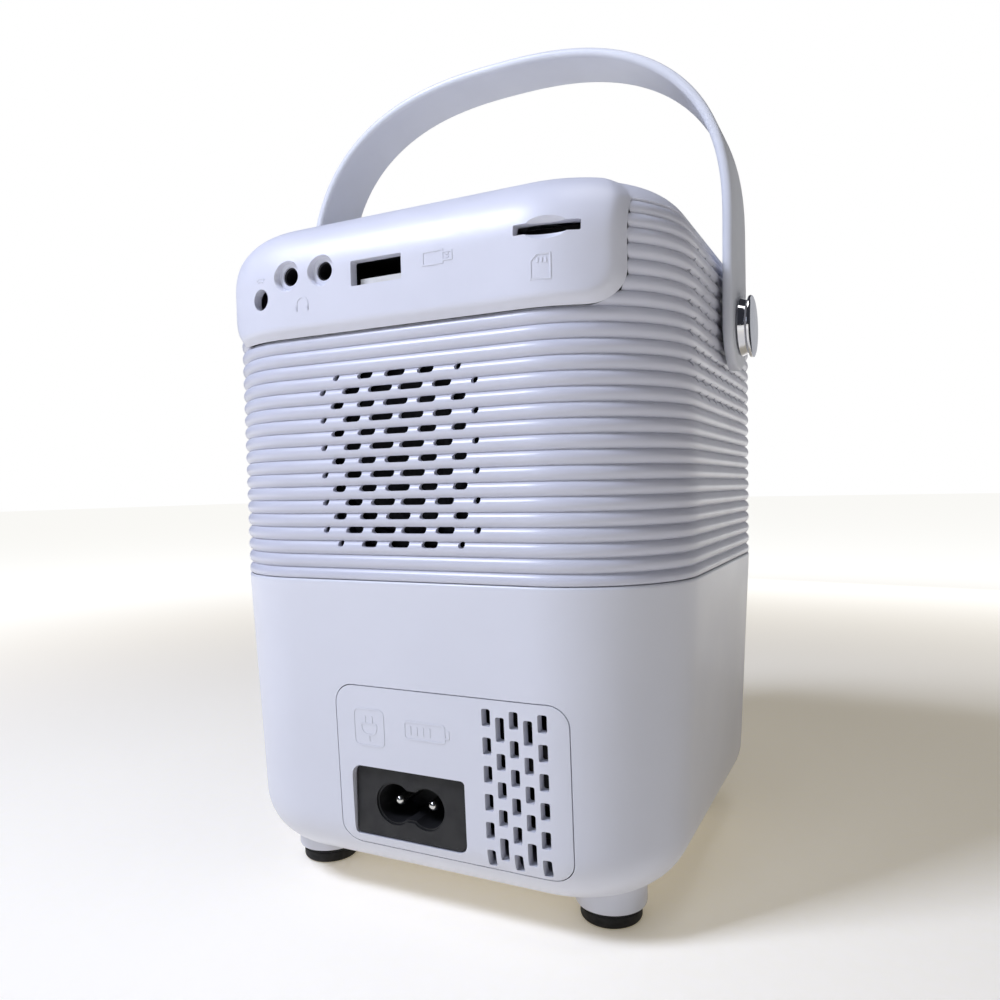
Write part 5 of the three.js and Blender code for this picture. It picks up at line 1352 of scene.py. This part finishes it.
def makeUsb():
    # A folded sheet shell open to the back, its tongue, and four contact pads on the tongue
    s, c = sockets, socketParts
    back = nodeCorners("usb_port")[0][1]
    mouth = apronY(s["usbX"], s["usbZ"]) - c["usbIn"]
    width, height = s["usbWidth"] + c["usbMargin"], s["usbHeight"] + c["usbMargin"]

    def shellOutline(grow):
        # The shell's section, moved out by the amount that it grows
        return centredBox(s["usbX"], s["usbZ"], width + 2 * grow, height + 2 * grow, 0.5, 4)

    # The shell's near-black colour is painted shade for the dark inside of the socket
    shell = makePiece("usb_shell", *prism(shellOutline(0), back, mouth, "y", 0.12, 2), usbShellPaintedShade)
    cutPiece(shell, prism(shellOutline(-c["usbSheet"]), back + c["usbBack"], mouth + case["clear"]))
    fit(shell, "case", "plated_metal", "usb_port")
    low, high, half = s["usbZ"] + c["tongueLow"], s["usbZ"] + c["tongueHigh"], c["tongueWidth"] / 2
    tongue = roundedBox(s["usbX"] - half, s["usbX"] + half, low, high, 0.2, 3)
    bar = prism(tongue, back + c["tongueFoot"], mouth - c["tongueIn"], "y", 0.2, 3)
    fit(makePiece("usb_tongue", *bar, tongueMoulded), "case", "grey_plastic")
    pads, far = [], mouth - c["padIn"]
    for x in c["padXs"]:
        left = s["usbX"] + x - c["padWidth"] / 2
        pad = roundedBox(left, left + c["padWidth"], high, high + c["padHeight"], 0.02, 2)
        pads.append(prism(pad, far - c["padLength"], far))
    fit(makePiece("usb_contacts", *joined(*pads), slotFinish["plated_metal"], 0), "case", "plated_metal")


def makeJack(name):
    # A square body and a round collar that fills the apron's recess, bored through
    low, high = nodeCorners(name)
    x, z = (low[0] + high[0]) / 2, sockets["jackZ"]
    bore, wide = socketParts["jackBore"], socketParts["jackCollar"]
    nose = min(high[1], apronY(x, z) - sockets["jackDepth"] - socketParts["jackGap"])
    body = roundedBox(low[0], high[0], low[2], high[2], 0.5, 3)
    jack = makePiece(name + "_moulded", *prism(body, low[1], nose - socketParts["collarLength"], "y", 0.3),
                     nylonBlack)
    deep = nose - socketParts["boreDepth"]
    hole = [[0, deep], [bore, deep], [bore, nose + 1], [0, nose + 1]]
    cutPiece(jack, turned(hole, "y", (x, 0, z), 32))
    deep = nose - socketParts["collarDepth"]
    collar = [[bore, deep], [wide, deep], [wide, nose - 0.3], [wide - 0.2, nose], [bore + 0.2, nose],
              [bore, nose - 0.25]]
    cutPiece(jack, turned(collar, "y", (x, 0, z), 40), "UNION")
    fit(jack, "case", "black_plastic", name)


def makeCardReader():
    # A box with the card's slot in it
    low, high = nodeCorners("card_reader")
    box = roundedBox(low[0], high[0], low[2], high[2], 0.4, 3)
    reader = makePiece("card_cage", *prism(box, low[1], high[1], "y", 0.2), nylonBlack)
    slot = centredBox(sockets["cardX"], sockets["cardZ"], sockets["cardWidth"] - socketParts["cardEase"],
                      socketParts["cardSlot"], 0.2, 3)
    cutPiece(reader, prism(slot, low[1] + 2, high[1] + case["clear"]))
    fit(reader, "case", "black_plastic", "card_reader")


def makeEye():
    # A block with a half ball in front
    low, high = nodeCorners("ir_receiver")
    r, tip = socketParts["eyeRadius"], high[1]
    box = roundedBox(low[0], high[0], low[2], high[2], 0.3, 3)
    block = makePiece("ir_eye", *prism(box, low[1], tip - socketParts["eyeStand"], "y", 0.2), absBlackGloss)
    dome = [[0, tip - 2 * r], [r, tip - 2 * r], [r, tip - r], *ballTip(r, tip), [0, tip]]
    cutPiece(block, turned(dome, "y", ((low[0] + high[0]) / 2, 0, (low[2] + high[2]) / 2), 32), "UNION")
    fit(block, "case", "black_plastic", "ir_receiver")


makeUsb()
makeJack("av_jack")
makeJack("headphone_jack")
makeCardReader()
makeEye()
print("sockets and signs made")


# The lens side: bezel, toothed focus ring, barrel and glass

lensStyle = {
    "bezelBore": 27.6, "bezelNeck": 29.6, "bezelRound": 1.3, "bezelGap": 0.3,
    "ringBore": 20.2, "teeth": 40, "toothDepth": 0.7, "toothRows": 0.3,
    "barrelWall": 2.6, "threads": 11, "threadPitch": 0.275, "threadDepth": 0.35, "lensEdge": 2.0,
}
lensCentre = (0, 0, sleeve["lensHeight"])


def makeBezel():
    # A ring with a quarter circle round its outer edge, and a neck through the sleeve's window
    low, high = nodeCorners("front_bezel")
    outer, face, back = high[0], low[1], high[1]
    skin = -case["halfY"] - lensStyle["bezelGap"]
    r, bore, neck = lensStyle["bezelRound"], lensStyle["bezelBore"], lensStyle["bezelNeck"]
    arc = np.linspace(0, np.pi / 2, 7)
    lip = [[outer - r + r * np.sin(a), face + r * (1 - np.cos(a))] for a in arc]
    profile = [[bore, back], [bore, face + 0.7], [bore + 0.2, face + 0.2], [bore + 0.7, face], *lip,
               [outer, skin], [neck, skin], [neck, back]]
    bezel = makePiece("lens_bezel", *turned(profile, "y", lensCentre, 128), absBlackGloss)
    fit(bezel, "case", "black_plastic", "front_bezel")


def makeFocusRing():
    # A ring with a stepped round over its front edge and teeth to turn it by
    low, high = nodeCorners("focus_ring")
    outer, face, back, bore = high[0], low[1], high[1], lensStyle["ringBore"]

    def gripped(radius, angle):
        # Round teeth on the outer rows alone: the radius dips by a raised cosine of the angle, squared
        dip = lensStyle["toothDepth"] * (0.5 - 0.5 * np.cos(lensStyle["teeth"] * angle)) ** 2
        return np.where(radius > outer - lensStyle["toothRows"], radius - dip, radius)

    profile = [[bore, back], [bore, face + 0.5], [bore + 0.5, face], [outer - 2.4, face],
               [outer - 1.4, face + 0.15], [outer - 0.6, face + 0.6], [outer - 0.2, face + 1.1],
               [outer, face + 1.8], [outer, back - 0.4], [outer - 0.5, back]]
    ring = makePiece("focus_ring_gripped", *turned(profile, "y", lensCentre, 480, gripped), nylonBlack, 50)
    fit(ring, "focus_ring", "black_plastic", "focus_ring")


def makeBarrel():
    # A tube whose bore has a few light-trapping threads behind its mouth
    low, high = nodeCorners("lens_barrel")
    outer, face, back = high[0], low[1], high[1]
    bore = outer - lensStyle["barrelWall"]
    threads = [[bore - lensStyle["threadDepth"] * (i % 2), face + 3.4 - i * lensStyle["threadPitch"]]
               for i in range(lensStyle["threads"])]
    profile = [[bore, back], [bore, face + 3.6], *threads, [bore, face + 0.4], [bore + 0.4, face],
               [outer - 0.4, face], [outer, face + 0.4], [outer, back]]
    barrel = makePiece("lens_barrel_ribbed", *turned(profile, "y", lensCentre, 96), nylonBlack)
    fit(barrel, "lens_group", "black_plastic", "lens_barrel")


def makeLens(name):
    # Two parabolic faces back to back, with a straight edge between them
    low, high = nodeCorners(name)
    radius, middle, edge = high[0], (low[1] + high[1]) / 2, lensStyle["lensEdge"] / 2
    bulge = (high[1] - low[1]) / 2 - edge
    share = np.linspace(0, 1, 14)
    front = [[radius * s, middle - edge - bulge * (1 - s ** 2)] for s in share]
    rear = [[radius * s, middle + edge + bulge * (1 - s ** 2)] for s in share[::-1]]
    glass = makePiece(name + "_ground", *turned(front + rear, "y", lensCentre, 96),
                      slotFinish["lens_glass"], 50)
    fit(glass, "lens_group", "lens_glass", name)


makeBezel()
makeFocusRing()
makeBarrel()
makeLens("front_lens")
makeLens("rear_lens")
print("lens side made")


# Floor

def makeFloor():
    # One wide sheet under the feet
    reach = 6000.0
    line = np.linspace(-reach, reach, 9)
    x, y = np.meshgrid(line, line)
    points = np.stack([x, y, np.full_like(x, -0.02)], -1).reshape(-1, 3)
    floor = makePiece("floor", points, gridFaces(9, 9), floorPaper(), 0)
    if floor.data.polygons[0].normal.z < 0:
        floor.data.flip_normals()


makeFloor()
